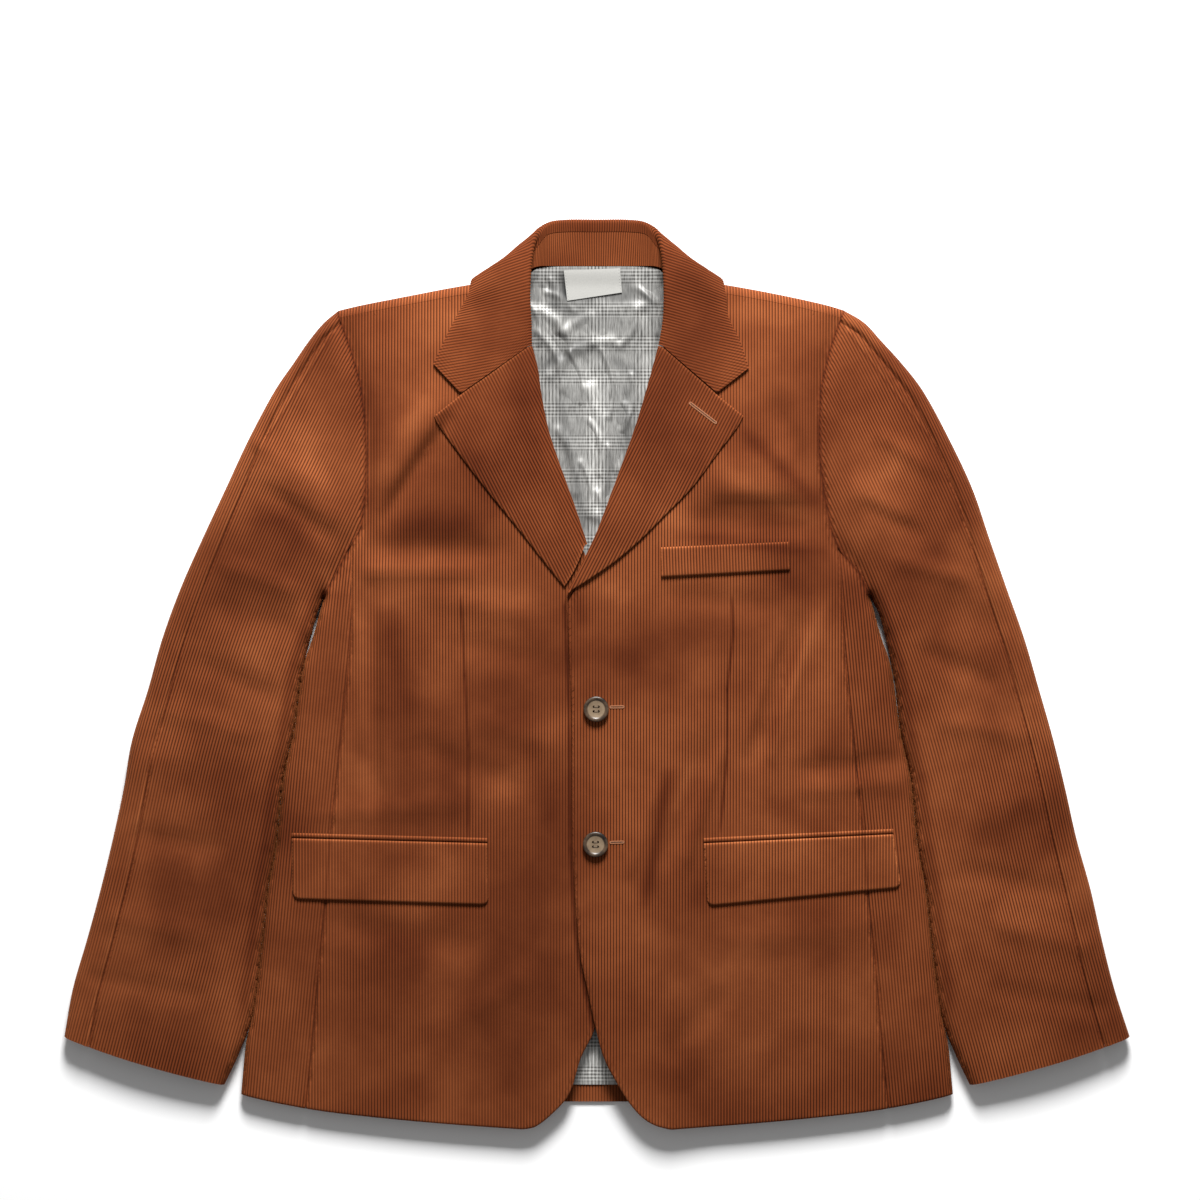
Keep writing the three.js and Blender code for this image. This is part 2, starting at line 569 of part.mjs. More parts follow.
// Collar: one folded band. The fall turns over the fold; the stand carries on down to the neck.
{
  const rows = COLLAR_SECTIONS.rows;
  const columns = COLLAR_SECTIONS.names;
  const station = (row, side) => {
    const s = Object.fromEntries(columns.map((name, k) => [name, row[k]]));
    if (side.name === "right") {
      const swaps = { 312: side.collarEdge[0], 290.5: side.collarEdge[1], 266: side.corner };
      if (swaps[s.ey]) [s.ex, s.ey] = swaps[s.ey];
      if (s.fy === 286) s.fx = side.roll.at(-1)[0];
    }
    return { fold: V(side.sign * s.fx, s.fy, s.fz), edge: V(side.sign * s.ex, s.ey, s.ez),
      neck: V(side.sign * s.nx, s.ny, s.nz), radius: s.radius, bow: s.bow, share: s.share };
  };
  const stations = [...rows.slice(1).reverse().map((row) => station(row, SIDES.right)),
    ...rows.map((row) => station(row, SIDES.left))];
  const curveOf = (key) => new THREE.CatmullRomCurve3(stations.map((s) => s[key]), false,
    "catmullrom", 0.5);
  const curves = { fold: curveOf("fold"), edge: curveOf("edge"), neck: curveOf("neck") };
  const number = (key, w) => {
    const at = clamp(w * (stations.length - 1), 0, stations.length - 1 - 1e-9);
    return mix(stations[Math.floor(at)][key], stations[Math.floor(at) + 1][key], at % 1);
  };
  const section = (w) => {
    const [fold, edge, neck] = ["fold", "edge", "neck"].map((k) => curves[k].getPoint(w));
    const side = w < 0.5 ? SIDES.right : SIDES.left;
    const ahead = curves.fold.getPoint(Math.min(w + 0.004, 1))
      .sub(curves.fold.getPoint(Math.max(w - 0.004, 0))).normalize();
    const inward = fold.clone().sub(edge.clone().add(neck).multiplyScalar(0.5)).normalize();
    const across = ahead.clone().cross(inward).normalize();
    const radius = number("radius", w);
    const centre = fold.clone().addScaledVector(inward, -radius);
    const bow = number("bow", w);
    const endness = smooth(0.76, 1, Math.abs(2 * w - 1));
    const notch = V(side.sign * side.notch[0], side.notch[1], 0);
    const outerFrom = centre.clone().addScaledVector(across, -radius);
    const innerFrom = centre.clone().addScaledVector(across, radius);
    const onFront = smooth(0.56, 0.76, Math.abs(2 * w - 1));
    const onBack = 1 - smooth(0.2, 0.42, Math.abs(2 * w - 1));
    const bend = 0.64;
    const corner = V(side.sign * side.corner[0], side.corner[1], 0);
    const foldEnd = curves.fold.getPoint(w < 0.5 ? 0 : 1).setZ(0);
    const sag = notch.clone().sub(foldEnd.clone().lerp(corner, bend)).multiplyScalar(endness);
    const outer = (t) => {
      const p = outerFrom.clone().lerp(edge, t)
        .addScaledVector(across, -bow * Math.sin(Math.PI * t));
      p.addScaledVector(sag, t < bend ? t / bend : (1 - t) / (1 - bend));
      const [x, y] = [Math.abs(p.x), p.y];
      const lift = outerFrom.z - bodyTop(side, Math.abs(outerFrom.x), outerFrom.y) - LAPEL_REST - COLLAR;
      const lying = bodyTop(side, x, y) + LAPEL_REST + COLLAR + lift * (1 - t) ** 2;
      const onFloor = edge.z + (outerFrom.z - edge.z) * (1 - t) ** 2.2;
      p.z = Math.max(mix(mix(p.z, onFloor, onBack), lying, onFront), 0);
      return p;
    };
    const arc = (angle) => centre.clone().addScaledVector(across, -radius * Math.cos(angle))
      .addScaledVector(inward, radius * Math.sin(angle));
    const innerAt = (t) => innerFrom.clone().lerp(neck, t);
    const share = number("share", w);
    const length = innerFrom.distanceTo(neck);
    return {
      fall: [...steps(6).reverse().slice(0, -1).map(outer), ...steps(5, 0, Math.PI).map(arc),
        innerAt(share - 0.4 / length)],
      stand: steps(3, share + 0.4 / length, 1).map(innerAt),
    };
  };
  const short = 0.0012;
  const sections = steps(30, short, 1 - short).map(section);
  add("collar_fall", wall(sections.map((s) => s.fall), COLLAR, 1), "corduroy");
  add("collar_stand", wall(sections.slice(1, -1).map((s) => s.stand), COLLAR, 1), "corduroy");
}

// Buttons: a turned disc with a rim, a shallow dish and four holes.
const wasm = await Module();
wasm.setup();
function manifoldOf(geometry) {
  const g = geometry.clone();
  g.deleteAttribute("normal");
  g.deleteAttribute("uv");
  const merged = mergeVertices(g, 1e-3);
  return new wasm.Manifold(new wasm.Mesh({
    numProp: 3, vertProperties: merged.attributes.position.array,
    triVerts: new Uint32Array(merged.index.array),
  }));
}
function geometryOf(manifold) {
  const mesh = manifold.getMesh();
  const geometry = new THREE.BufferGeometry();
  geometry.setAttribute("position", new THREE.Float32BufferAttribute(mesh.vertProperties, 3));
  geometry.setIndex(Array.from(mesh.triVerts));
  geometry.computeVertexNormals();
  return geometry;
}
for (const [name, [x, y]] of Object.entries(BUTTONS_AT)) {
  const { radius, thickness, rim, dish, hole, spacing } = BUTTON;
  const profile = [[0, 0], [radius - 1.2, 0], [radius, 1.2], [radius, thickness - 1],
    [radius - 1, thickness], [radius - rim, thickness], [radius - rim - 1, thickness - dish],
    [0, thickness - dish]].map(([r, z]) => new THREE.Vector2(r, z));
  const disc = new THREE.LatheGeometry(profile, 22);
  let solid = manifoldOf(disc);
  for (const [sx, sy] of [[-1, -1], [1, -1], [1, 1], [-1, 1]]) {
    const drill = new THREE.CylinderGeometry(hole, hole, thickness + 4, 8);
    drill.translate((sx * spacing) / 1.25, thickness / 2, (sy * spacing) / 1.25);
    solid = solid.subtract(manifoldOf(drill));
  }
  const geometry = geometryOf(solid);
  geometry.rotateX(Math.PI / 2);
  const front = Math.max(...[[0, 0], [11, 0], [-11, 0], [0, 11], [0, -11], [8, 8], [-8, 8],
    [8, -8], [-8, -8]].map(([dx, dy]) => bodyTop(SIDES.left, x + dx, y + dy)));
  geometry.translate(x, y, front + REST);
  add(name, geometry, "horn");
}

export default jacket;
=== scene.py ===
# %% [markdown]
# A corduroy jacket, laid flat on its back and buttoned.
# Everything is worked out in millimetres, seen from above: +X is the wearer's left, +Y goes to the
# collar and +Z up from the floor. Each half is described with x measured out from the centre line,
# and its sign says which way that goes. At the end a piece's points are turned into metres.

# %% Start
import math
import bpy
import numpy as np
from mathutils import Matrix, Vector
from mathutils.geometry import delaunay_2d_cdt
from mathutils.kdtree import KDTree


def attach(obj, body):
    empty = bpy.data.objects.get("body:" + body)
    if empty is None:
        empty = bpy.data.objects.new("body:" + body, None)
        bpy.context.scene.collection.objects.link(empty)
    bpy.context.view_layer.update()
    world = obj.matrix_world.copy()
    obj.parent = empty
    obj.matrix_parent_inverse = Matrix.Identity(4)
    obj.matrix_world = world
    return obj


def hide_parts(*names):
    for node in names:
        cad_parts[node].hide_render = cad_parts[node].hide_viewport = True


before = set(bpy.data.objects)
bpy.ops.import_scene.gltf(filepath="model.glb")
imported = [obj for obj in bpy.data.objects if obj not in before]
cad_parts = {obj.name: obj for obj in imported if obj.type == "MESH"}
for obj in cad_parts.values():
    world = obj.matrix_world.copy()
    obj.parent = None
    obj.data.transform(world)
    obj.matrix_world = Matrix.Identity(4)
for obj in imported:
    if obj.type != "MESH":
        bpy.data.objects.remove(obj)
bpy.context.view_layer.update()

print("frame:", len(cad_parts), "nodes")

# %% [markdown]
# The sizes. Corduroy is described by its wales, the ribs of pile, and by how deep the ground
# between two wales lies. Thicknesses and clearances are those of the solids.

# %% Sizes
PITCH, WALE_DEPTH = 2.6, 0.5
CLOTH, FACING, COLLAR, FLAP, LINING, LABEL = 2.0, 1.65, 2.0, 2.2, 1.0, 0.8
REST, LAPEL_REST, OVERLAP, JET_GAP = 0.35, 0.9, 2.5, 0.4
# The back is raised by this under the neck; the lining lies on it, and the label on the lining.
NECK_RISE = 3.3
LINING_HEIGHT = CLOTH + 0.4 + LINING
LABEL_HEIGHT = NECK_RISE + LINING_HEIGHT + 0.3 + LABEL
EDGE_ROUND, UNDERARM_ROUND, SHOULDER_ROUND, SIDE_SEAM_UP = 11, 8, 8.7, 50
# How far from the centre front's direction the lapels' wales lean, in degrees.
LAPEL_LEAN = -27
# A column of points stops this far short of an outline.
END_GAP = 0.65
# The shortest side that a cut is stated with: a narrow strip has its turnings.
SHORTEST_SIDE = 12
BUTTONS_AT = {"button_upper": (-0.7, -28.7), "button_lower": (-1.3, -146)}


def table(names, rows):
    """Named columns; the first one is the key that the others are read at."""
    columns = dict(zip(names.split(), np.array(rows, float).T))
    columns["key"] = columns[names.split()[0]]
    return columns


# The body going up from the hem: half its width and the height of its top face.
BODY = table("y half top", [
    (-396, 314, 12), (-365, 310.6, 13), (-320, 306, 15), (-293, 300, 16), (-234, 292, 18),
    (-187, 287, 19), (-150, 280, 20), (-90, 273.5, 21), (-49, 264.5, 22), (8, 256, 23),
    (35, 246, 24), (67, 237, 25), (125, 237, 27), (200, 237, 28), (260, 237, 27),
    (311, 237, 24), (345, 237, 21)])
ARMHOLE_HEIGHT = table("y top", [(67, 24), (125, 26), (200, 27), (260, 26), (311, 23.5)])
# The sleeve from cuff (0) to armhole (1): its height, and how far in its outer seam runs.
SLEEVE = table("along top seam", [
    (0, 16, 24), (0.15, 19, 23), (0.4, 22, 22), (0.6, 24, 21), (0.8, 27, 18.5),
    (0.93, 26, 14), (1, 24, 11.5)])

# %% [markdown]
# Creases, each one listed: from, to, width and rise, where a trough is negative. The first
# table holds the large ones that the solids have too; the second adds the smaller ones beside
# them, so that no two places on the jacket lie quite alike.

# %% Creases
LARGE = [
    (-200, 150, -140, 240, 24, 4), (-196, 118, -145, 200, 20, -3.5), (-206, 111, -84, 108, 18, -3.5),
    (-195, 75, -195, -108, 15, -2.5), (99, 164, 180, 164, 22, 3.5), (90, 135, 205, 128, 17, -3.5),
    (156, 233, 185, 164, 16, -3), (174, 45, 138, -75, 16, -3), (95, -60, 62, -160, 15, -2.5),
    (-290, 180, -208, 128, 20, 3), (-330, 60, -262, 40, 24, -2.5), (220, 162, 264, 136, 20, 3),
    (300, 60, 350, 40, 24, -2.5), (-400, -80, -330, -60, 26, 2), (330, -120, 400, -100, 26, 2)]
SMALL = [
    (-205, 92, -110, 90, 10, 2.4), (-178, 165, -132, 236, 9, 1.8), (-188, 134, -128, 222, 8, -1.8),
    (-186, 60, -184, -90, 8, 1.8), (-205, 40, -205, -60, 7, 1.35), (-150, 70, -60, 52, 14, 1.8),
    (-120, 30, -40, 10, 16, -1.65), (-100, -40, -30, -60, 16, 1.5), (-160, -60, -70, -95, 16, -1.8),
    (-240, -120, -120, -110, 14, 1.8), (-230, -215, -110, -235, 18, -1.8), (-120, -300, -60, -260, 16, 1.5),
    (196, 150, 181, 224, 9, 2.4), (104, 148, 196, 145, 8, -2.1), (110, 182, 170, 190, 12, 1.5),
    (188, 50, 152, -70, 9, 2.4), (160, 40, 128, -60, 8, 1.35), (110, -60, 78, -160, 8, 2.25),
    (176, -82, 262, -73, 12, -2.7), (180, -100, 262, -93, 9, 1.8), (60, 70, 150, 60, 14, -1.8),
    (50, -100, 30, -170, 9, 1.65), (120, -230, 240, -215, 18, 1.5), (110, -280, 60, -330, 16, -1.65),
    (-284, 160, -222, 112, 10, -2.4), (-300, 205, -236, 162, 11, 2.25), (-322, 96, -256, 72, 12, 2.4),
    (-345, 10, -280, -20, 14, -2.25), (-372, -30, -300, -52, 13, 2.1), (-398, -140, -330, -150, 15, -2.25),
    (-420, -210, -345, -225, 16, 1.95), (-438, -262, -345, -280, 12, -1.5),
    (232, 146, 280, 122, 11, -2.55), (246, 208, 292, 178, 11, 2.4), (262, 100, 318, 84, 12, 2.4),
    (285, 20, 345, -8, 14, -2.4), (300, -40, 372, -52, 14, 2.25), (322, -170, 402, -190, 15, -2.1),
    (345, -215, 425, -236, 14, 1.95), (350, -275, 440, -290, 12, -1.5)]
CREASES = LARGE + SMALL
print("creases:", len(LARGE), "large and", len(SMALL), "small")

# %% [markdown]
# Where the pile is brushed up or down the cloth looks darker or paler, also where it lies flat,
# but most of these patches are painted shade and painted highlights: the light and shade of folds,
# seams and edges, and of where the light falls brighter or dimmer across the jacket. Each patch is
# a line again: from, to, width, and how much paler (or darker, where negative).

# %% Nap and painted light
# Mostly painted shade and painted highlights of folds and edges, partly nap.
NAP_AND_PAINTED_LIGHT = [
    (-150, 236, -186, 172, 15, 0.28), (-176, 126, -104, 134, 20, -0.32), (-182, 50, -164, -30, 18, -0.22),
    (-206, 60, -202, -40, 10, 0.14), (-206, -84, -180, -98, 20, 0.18), (-122, 74, -60, 66, 18, 0.16),
    (-80, -84, -70, -110, 24, 0.14), (-126, -60, -122, -128, 16, -0.18), (-58, -60, -40, -130, 14, -0.14),
    (-200, -228, -150, -236, 22, -0.16), (-150, -262, -100, -258, 20, 0.1),
    (-210, -300, -120, -318, 24, -0.08),
    (10, 80, 26, 66, 14, 0.22), (-18, 72, -12, 44, 12, -0.26), (62, 140, 84, 118, 16, 0.20),
    (140, 186, 168, 150, 20, 0.14), (160, 90, 186, 70, 14, -0.20),
    (200, 66, 160, -30, 9, 0.22), (176, 30, 150, -60, 9, -0.20), (18, 30, 26, 0, 22, -0.14),
    (60, 20, 96, -10, 24, 0.12), (24, -104, 30, -134, 14, 0.16), (62, -84, 42, -196, 9, -0.34),
    (84, -74, 68, -116, 8, 0.22), (96, -96, 80, -150, 8, -0.16), (150, -110, 196, -134, 16, -0.18),
    (120, -80, 146, -60, 16, 0.12), (40, -230, 120, -250, 26, 0.08), (110, -300, 170, -290, 24, -0.10),
    (-152, 300, -100, 318, 18, 0.16), (110, 318, 176, 302, 18, 0.16), (-190, 230, -198, 130, 9, -0.16),
    (196, 220, 194, 130, 9, -0.14), (-262, 222, -236, 150, 16, 0.14), (-290, 150, -240, 96, 16, -0.16),
    (-330, 40, -290, 10, 18, 0.12), (-360, -90, -320, -110, 20, -0.12), (-400, -220, -350, -240, 20, 0.10),
    (262, 200, 240, 150, 16, 0.14), (300, 110, 262, 90, 16, -0.16), (330, 10, 300, -20, 18, 0.12),
    (370, -110, 330, -140, 20, -0.12), (410, -250, 360, -262, 20, 0.10), (124, 214, 188, 152, 11, -0.3),
    (100, 184, 192, 130, 13, 0.28), (72, 122, 196, 106, 9, -0.26), (-113, 194, -88, 140, 16, -0.16),
    (-236, 92, -226, 74, 9, 0.22), (-326, 20, -330, -80, 34, -0.12), (335, 20, 345, -80, 34, -0.12),
    (-130, 20, -130, -110, 50, 0.14), (130, 20, 130, -110, 50, -0.08), (-96, 326, -92, 283, 24, -0.16),
    (-230, -178, -130, -178, 18, 0.1)]
# Painted reflections and painted shade on the satin lining; the last row paints the lining paler where it
# shows at the hem between the fronts.
SHINE = [
    (-4, 262, 2, 120, 11, 0.5), (-50, 268, -8, 292, 9, -0.5), (-32, 302, 20, 292, 7, 0.4),
    (-48, 342, -42, 300, 6, 0.45), (-30, 352, -26, 328, 5, -0.55), (34, 350, 42, 306, 7, 0.3),
    (24, 252, 28, 186, 8, -0.4), (-32, 240, -24, 186, 8, -0.35), (46, 300, 40, 250, 6, 0.3),
    (0, 326, 42, 314, 8, 0.3), (-10, 312, -52, 328, 6, -0.35), (10, 276, 40, 262, 7, -0.3),
    (-20, 180, -12, 130, 6, -0.35), (10, 190, 8, 130, 5, -0.3), (0, 110, 2, 84, 6, -0.4),
    (-50, 336, 50, 330, 20, -0.4),
    (-20, -332, 20, -346, 24, 1.4)]
print("patches of nap:", len(NAP_AND_PAINTED_LIGHT), "and of shine on the lining:", len(SHINE))

# %% [markdown]
# The outlines. Each seam is one list of corners with a smooth line through them, and both panels
# that meet there use it.

# %% Outlines
SIDE_SEAM = [(254, -377.5), (246, -303), (242, -250), (236, -199), (231, -132), (225.5, -82),
             (219, -22), (215, 17), (213, 60)]
BODY_EDGE = [(310.6, -365.5), (306, -320), (300, -293), (292, -234), (287, -187), (280, -150),
             (273.5, -90), (264.5, -49), (256, 8), (247, 35), (238, 68)]
SLEEVE_INNER = [(325, -357), (314, -334), (305.5, -313), (300.3, -295), (292.05, -234), (287.05, -187),
                (280.05, -150), (273.55, -90), (264.55, -49)]
CUFF = [(464.6, -315), (440, -324), (404, -336), (356, -349.5), (325, -357)]
FRONT_HEM = [(64, -395.5), (128, -391), (174, -387), (230, -381), (254, -377.5)]
SIDE_HEM = [(254, -377.5), (285, -371.5), (310.6, -365.5)]
BACK_HEM = [(-254, -377), (-200, -374.5), (-120, -373), (0, -372.4), (120, -373), (200, -374.5),
            (254, -377)]
BACK_NECK = [(66, 347), (60, 349.5), (52, 351.5), (30, 353.5), (0, 354)]
# The line that the wales of the sleeves follow.
SLEEVE_GRAIN = [(478, -372), (464.6, -315), (441, -230), (419, -143), (399, -56), (373, 31),
                (341, 118), (303, 205), (262, 290), (236, 338)]
SIDES = {
    "left": dict(
        sign=1,
        armhole=[(215, 318.2), (212, 311), (202, 282), (195, 252), (193, 222), (193, 192),
                 (197, 160), (203, 128), (210, 110), (227, 90), (238, 68)],
        sleeve_edge=[(464.6, -315), (451, -273), (440, -230), (430, -186), (418, -143), (408, -99),
                     (397.5, -56), (385, -12), (372.5, 31), (357, 75), (342, 118), (327, 162),
                     (307, 205), (283, 249), (266, 271), (247, 292), (233, 307), (215, 318.2)],
        shoulder=[(66, 338), (116, 331), (165, 322), (212, 311)],
        over=[(215, 318.2), (200, 322.5), (167, 330), (118, 339.3), (66, 347)],
        front_edge=[(64, -395.5), (50, -391.5), (39, -384.5), (28.7, -373), (17.4, -355), (6, -333),
                    (-1.7, -305), (-8, -275), (-14, -247), (-18, -208), (-21, -149), (-22, -33),
                    (-25, 40), (-26, 62)],
        inside_roll=[(-26, 62), (-21.2, 70.4), (-13.1, 85.5), (3.1, 118.8), (19.2, 161.1),
                     (39.2, 217.3), (51.3, 258.5), (58.5, 286), (66, 312), (68, 328), (66, 338)],
        roll=[(-26, 73), (-18, 88), (-2, 121), (14, 163), (34, 219), (46, 260), (53, 286)],
        lapel_edge=[(-22, 74), (-6, 84), (15.7, 99), (37.4, 117.5), (57.4, 137.5), (82, 162.7),
                    (103.5, 191.4), (122, 216), (127, 225.3)],
        lapel_foot=[(-24.5, 72), (-23, 73)],
        notch=(103, 244.5), corner=(132, 266), collar_edge=[(114, 312), (124, 290.5)],
        underarm=[(259.4, -8), (254.6, 18), (249.6, 39), (244.6, 56), (238, 68)],
        flap=[(95.7, -200), (264.5, -184), (257.5, -137.5), (92.2, -145.3)],
        dart=[(117, 66), (118, 35), (113, -12), (113, -67), (107.5, -132)]),
    "right": dict(
        sign=-1,
        armhole=[(225.5, 317.8), (224, 311), (214, 283), (206, 255), (202, 225), (200, 192),
                 (201, 160), (205, 128), (214, 113), (226, 90), (238, 68)],
        sleeve_edge=[(464.6, -315), (457, -273), (444.5, -230), (432.5, -186), (422, -143),
                     (412.5, -99), (405, -56), (391, -12), (379, 31), (363, 75), (344, 118),
                     (323.5, 162), (303.5, 205), (280, 249), (265, 271), (250.5, 292), (238, 307),
                     (225.5, 317.8)],
        shoulder=[(66, 338), (116, 331), (165, 322), (224, 311)],
        over=[(225.5, 317.8), (205, 322.5), (167, 330), (118, 339.3), (66, 347)],
        front_edge=[(64, -395.5), (53.5, -393), (36, -379), (25.6, -367), (21, -356.7), (14, -333),
                    (2.6, -309.7), (-8, -270), (-14, -230), (-19, -170), (-22, -100), (-22, -33),
                    (-20, 30), (-12, 62)],
        inside_roll=[(-12, 62), (-2, 80), (13.4, 112.3), (23.5, 143.2), (39.2, 187.2),
                     (47.3, 212.7), (53.4, 243.6), (56.4, 265), (61.3, 286), (66, 312), (68, 328),
                     (66, 338)],
        roll=[(8.2, 114), (18.3, 145), (34, 189), (42, 214), (48, 244.5), (51, 266), (56, 286)],
        lapel_edge=[(28.5, 77), (46, 99), (68, 127), (94, 159), (120, 193), (137, 217), (141, 225)],
        lapel_foot=[(15, 101.5), (21, 89)],
        notch=(117, 244.5), corner=(142, 270), collar_edge=[(121, 314), (131, 294)],
        underarm=[(258.9, -8), (253.4, 18), (247.6, 39), (243, 56), (238, 68)],
        flap=[(94, -199), (264.5, -194), (265.4, -141), (94.8, -145.3)],
        dart=[(118, 66), (115, 0), (112, -60), (112, -140)]),
}
WELT = [(55.2, 85.3), (167.5, 91.4), (166.5, 116.3), (54.8, 111.4)]
JET_DEPTH = 4.2
LINING_SIDE = [(248, -357), (236, -250), (224, -120), (208, 0), (200, 90), (180, 150), (176, 220),
               (183, 300)]
LINING_TOP = [(183, 300), (120, 321), (68, 333), (62, 345), (55, 353), (44, 356.2), (30, 356.6),
              (0, 356.6), (-30, 356.6), (-44, 356.2), (-55, 353), (-62, 345), (-68, 333), (-120, 321),
              (-183, 300)]
LABEL_AT = [(-26, 326.8), (21.8, 334), (20, 355), (-29, 353)]
# The collar from the centre back to its front end.
COLLAR_AT = table("fx fy fz ex ey ez nx ny nz radius bow share", [
    (0, 397.5, 11, 0, 339, 0, 0, 357, 8.4, 3.6, 0, 0.2),
    (26, 397.5, 11, 38, 339, 0, 24, 357, 8.4, 3.6, 0, 0.2),
    (42, 395, 12.5, 70, 340, 0.4, 42, 357, 9.4, 3.6, 1, 0.2),
    (51, 386, 16, 93, 342, 5, 51, 356.5, 11.2, 3.6, 4.5, 0.22),
    (55, 370, 20.5, 108, 346, 16.5, 58, 353, 13.5, 3.6, 4.5, 0.28),
    (57, 350, 25, 112, 331, 25, 62, 343, 17, 3.6, 2, 0.4),
    (57.5, 328, 27.5, 114, 312, 26.6, 63.5, 328, 22.5, 3.4, 1, 0.45),
    (56.5, 307, 27.8, 124, 290.5, 28.6, 64, 309, 24, 3.2, 0.6, 0.5),
    (53, 286, 28, 132, 266, 29.6, 58.5, 288, 25, 3, 0, 0.5)])

# %% [markdown]
# Small sums on whole lists of points at once: a soft step, reading a table as a smooth curve, a
# smooth line through corners, and the nearest place on a line.

# %% Small sums
def smooth(start, end, x):
    t = np.clip((x - start) / (end - start), 0, 1)
    return t * t * (3 - 2 * t)


def bell(x, width):
    return np.exp(-((x / width) ** 2))


def read(t, column, key):
    """A table's column at the given keys, as a smooth curve through its rows."""
    xs, ys = t["key"], t[column]
    key = np.clip(key, xs[0], xs[-1])
    i = np.clip(np.searchsorted(xs, key, side="right") - 1, 0, len(xs) - 2)
    ahead, behind = np.minimum(np.arange(len(xs)) + 1, len(xs) - 1), np.maximum(np.arange(len(xs)) - 1, 0)
    slope = (ys[ahead] - ys[behind]) / (xs[ahead] - xs[behind])
    h = xs[i + 1] - xs[i]
    x = (key - xs[i]) / h
    return (ys[i] * (1 + 2 * x) * (1 - x) ** 2 + slope[i] * h * x * (1 - x) ** 2
            + ys[i + 1] * x * x * (3 - 2 * x) + slope[i + 1] * h * x * x * (x - 1))


class Line:
    """A line in plan. at() takes the share of its length."""

    def __init__(self, points):
        self.points = np.asarray(points, float)
        self.run = np.concatenate([[0], np.cumsum(np.linalg.norm(np.diff(self.points, axis=0), axis=1))])
        self.length = self.run[-1]

    def at(self, share):
        d = np.clip(share, 0, 1) * self.length
        return np.stack([np.interp(d, self.run, self.points[:, k]) for k in (0, 1)], -1)

    def part(self, start, end):
        n = max(int(abs(end - start) * self.length / 2), 1)
        return Line(self.at(np.linspace(start, end, n + 1)))

    def back(self):
        return Line(self.points[::-1])


def bend_between(b, c, start, end, t):
    """From b to c, leaving in the direction start and arriving in the direction end."""
    return (b + start * t + (3 * (c - b) - 2 * start - end) * t * t
            + (2 * (b - c) + start + end) * t ** 3)


def curve(corners, each=12):
    """A smooth line through corners, in equal shares of the square root of their distances."""
    p = np.asarray(corners, float)
    if len(p) == 2:
        return Line(p)
    p = np.vstack([2 * p[0] - p[1], p, 2 * p[-1] - p[-2]])
    t = np.linspace(0, 1, each, endpoint=False)[:, None]
    out = []
    for a, b, c, d in zip(p, p[1:], p[2:], p[3:]):
        t0, t1, t2 = (max(np.linalg.norm(w - v) ** 0.5, 1e-4) for v, w in ((a, b), (b, c), (c, d)))
        m1 = ((b - a) / t0 - (c - a) / (t0 + t1) + (c - b) / t1) * t1
        m2 = ((c - b) / t1 - (d - b) / (t1 + t2) + (d - c) / t2) * t1
        out.append(bend_between(b, c, m1, m2, t))
    return Line(np.vstack(out + [p[-2][None]]))


def nearest(points, line):
    """For each point: its distance from a line, how far along, and which side (left is 1)."""
    a, d = line.points[:-1], np.diff(line.points, axis=0)
    size = np.maximum((d * d).sum(1), 1e-12)
    away, run, side = (np.empty(len(points)) for _ in range(3))
    for k in range(0, len(points), 5000):
        px, py = points[k:k + 5000, :1], points[k:k + 5000, 1:2]
        rx, ry = px - a[:, 0], py - a[:, 1]
        t = np.clip((rx * d[:, 0] + ry * d[:, 1]) / size, 0, 1)
        gap = (rx - t * d[:, 0]) ** 2 + (ry - t * d[:, 1]) ** 2
        best = gap.argmin(1)
        row = np.arange(len(best))
        away[k:k + 5000] = np.sqrt(gap[row, best])
        run[k:k + 5000] = line.run[best] + t[row, best] * np.sqrt(size[best])
        side[k:k + 5000] = np.sign(d[best, 0] * ry[row, best] - d[best, 1] * rx[row, best])
    return away, run, side


def outline(*lines, step=2.0):
    """One closed outline from lines that follow each other."""
    return np.vstack([line.at(np.linspace(0, 1, max(int(round(line.length / step)), 1) + 1))[:-1]
                      for line in lines])


def corners(points, step=2.0):
    points = np.asarray(points, float)
    return outline(*[Line(pair) for pair in zip(points, np.roll(points, -1, axis=0))], step=step)


print("side seam:", round(curve(SIDE_SEAM).length), "mm, left armhole:",
      round(curve(SIDES["left"]["armhole"]).length), "mm")

# %% [markdown]
# The jacket's heights. They could come from a cloth simulation, but a jacket laid out by hand
# shows folds where someone has patted it flat, so each one is placed where it is seen.

# %% Heights
def paint_light_along(line, width, much, sign=1, aside=0.0):
    """Adds painted shade or a painted highlight along a line, or aside of it, as where a seam draws the
    cloth in.
    """
    for (x1, y1), (x2, y2) in zip(line, line[1:]):
        NAP_AND_PAINTED_LIGHT.append((sign * (x1 + aside), y1, sign * (x2 + aside), y2, width, much))


# Painted shade along the darts, side seams and armholes, and on the sleeves beside the body's edge where
# they round down.
for name, side in SIDES.items():
    side["name"] = name
    side["hoop"] = curve(side["armhole"])
    side["hoop_coarse"] = Line(side["hoop"].at(np.linspace(0, 1, 61)))
    side["dart_line"] = curve(side["dart"])
    paint_light_along(side["dart"], 1.7, -0.4, side["sign"])
    paint_light_along(SIDE_SEAM, 1.6, -0.22, side["sign"])
    paint_light_along(side["armhole"], 1.8, -0.36, side["sign"])
    paint_light_along(BODY_EDGE[2:], 8, -0.24, side["sign"], aside=8)
# A painted shadow on the right front beside the left front's edge, which lies over it.
paint_light_along(SIDES["left"]["front_edge"][4:], 2.4, -0.4, aside=-2.2)


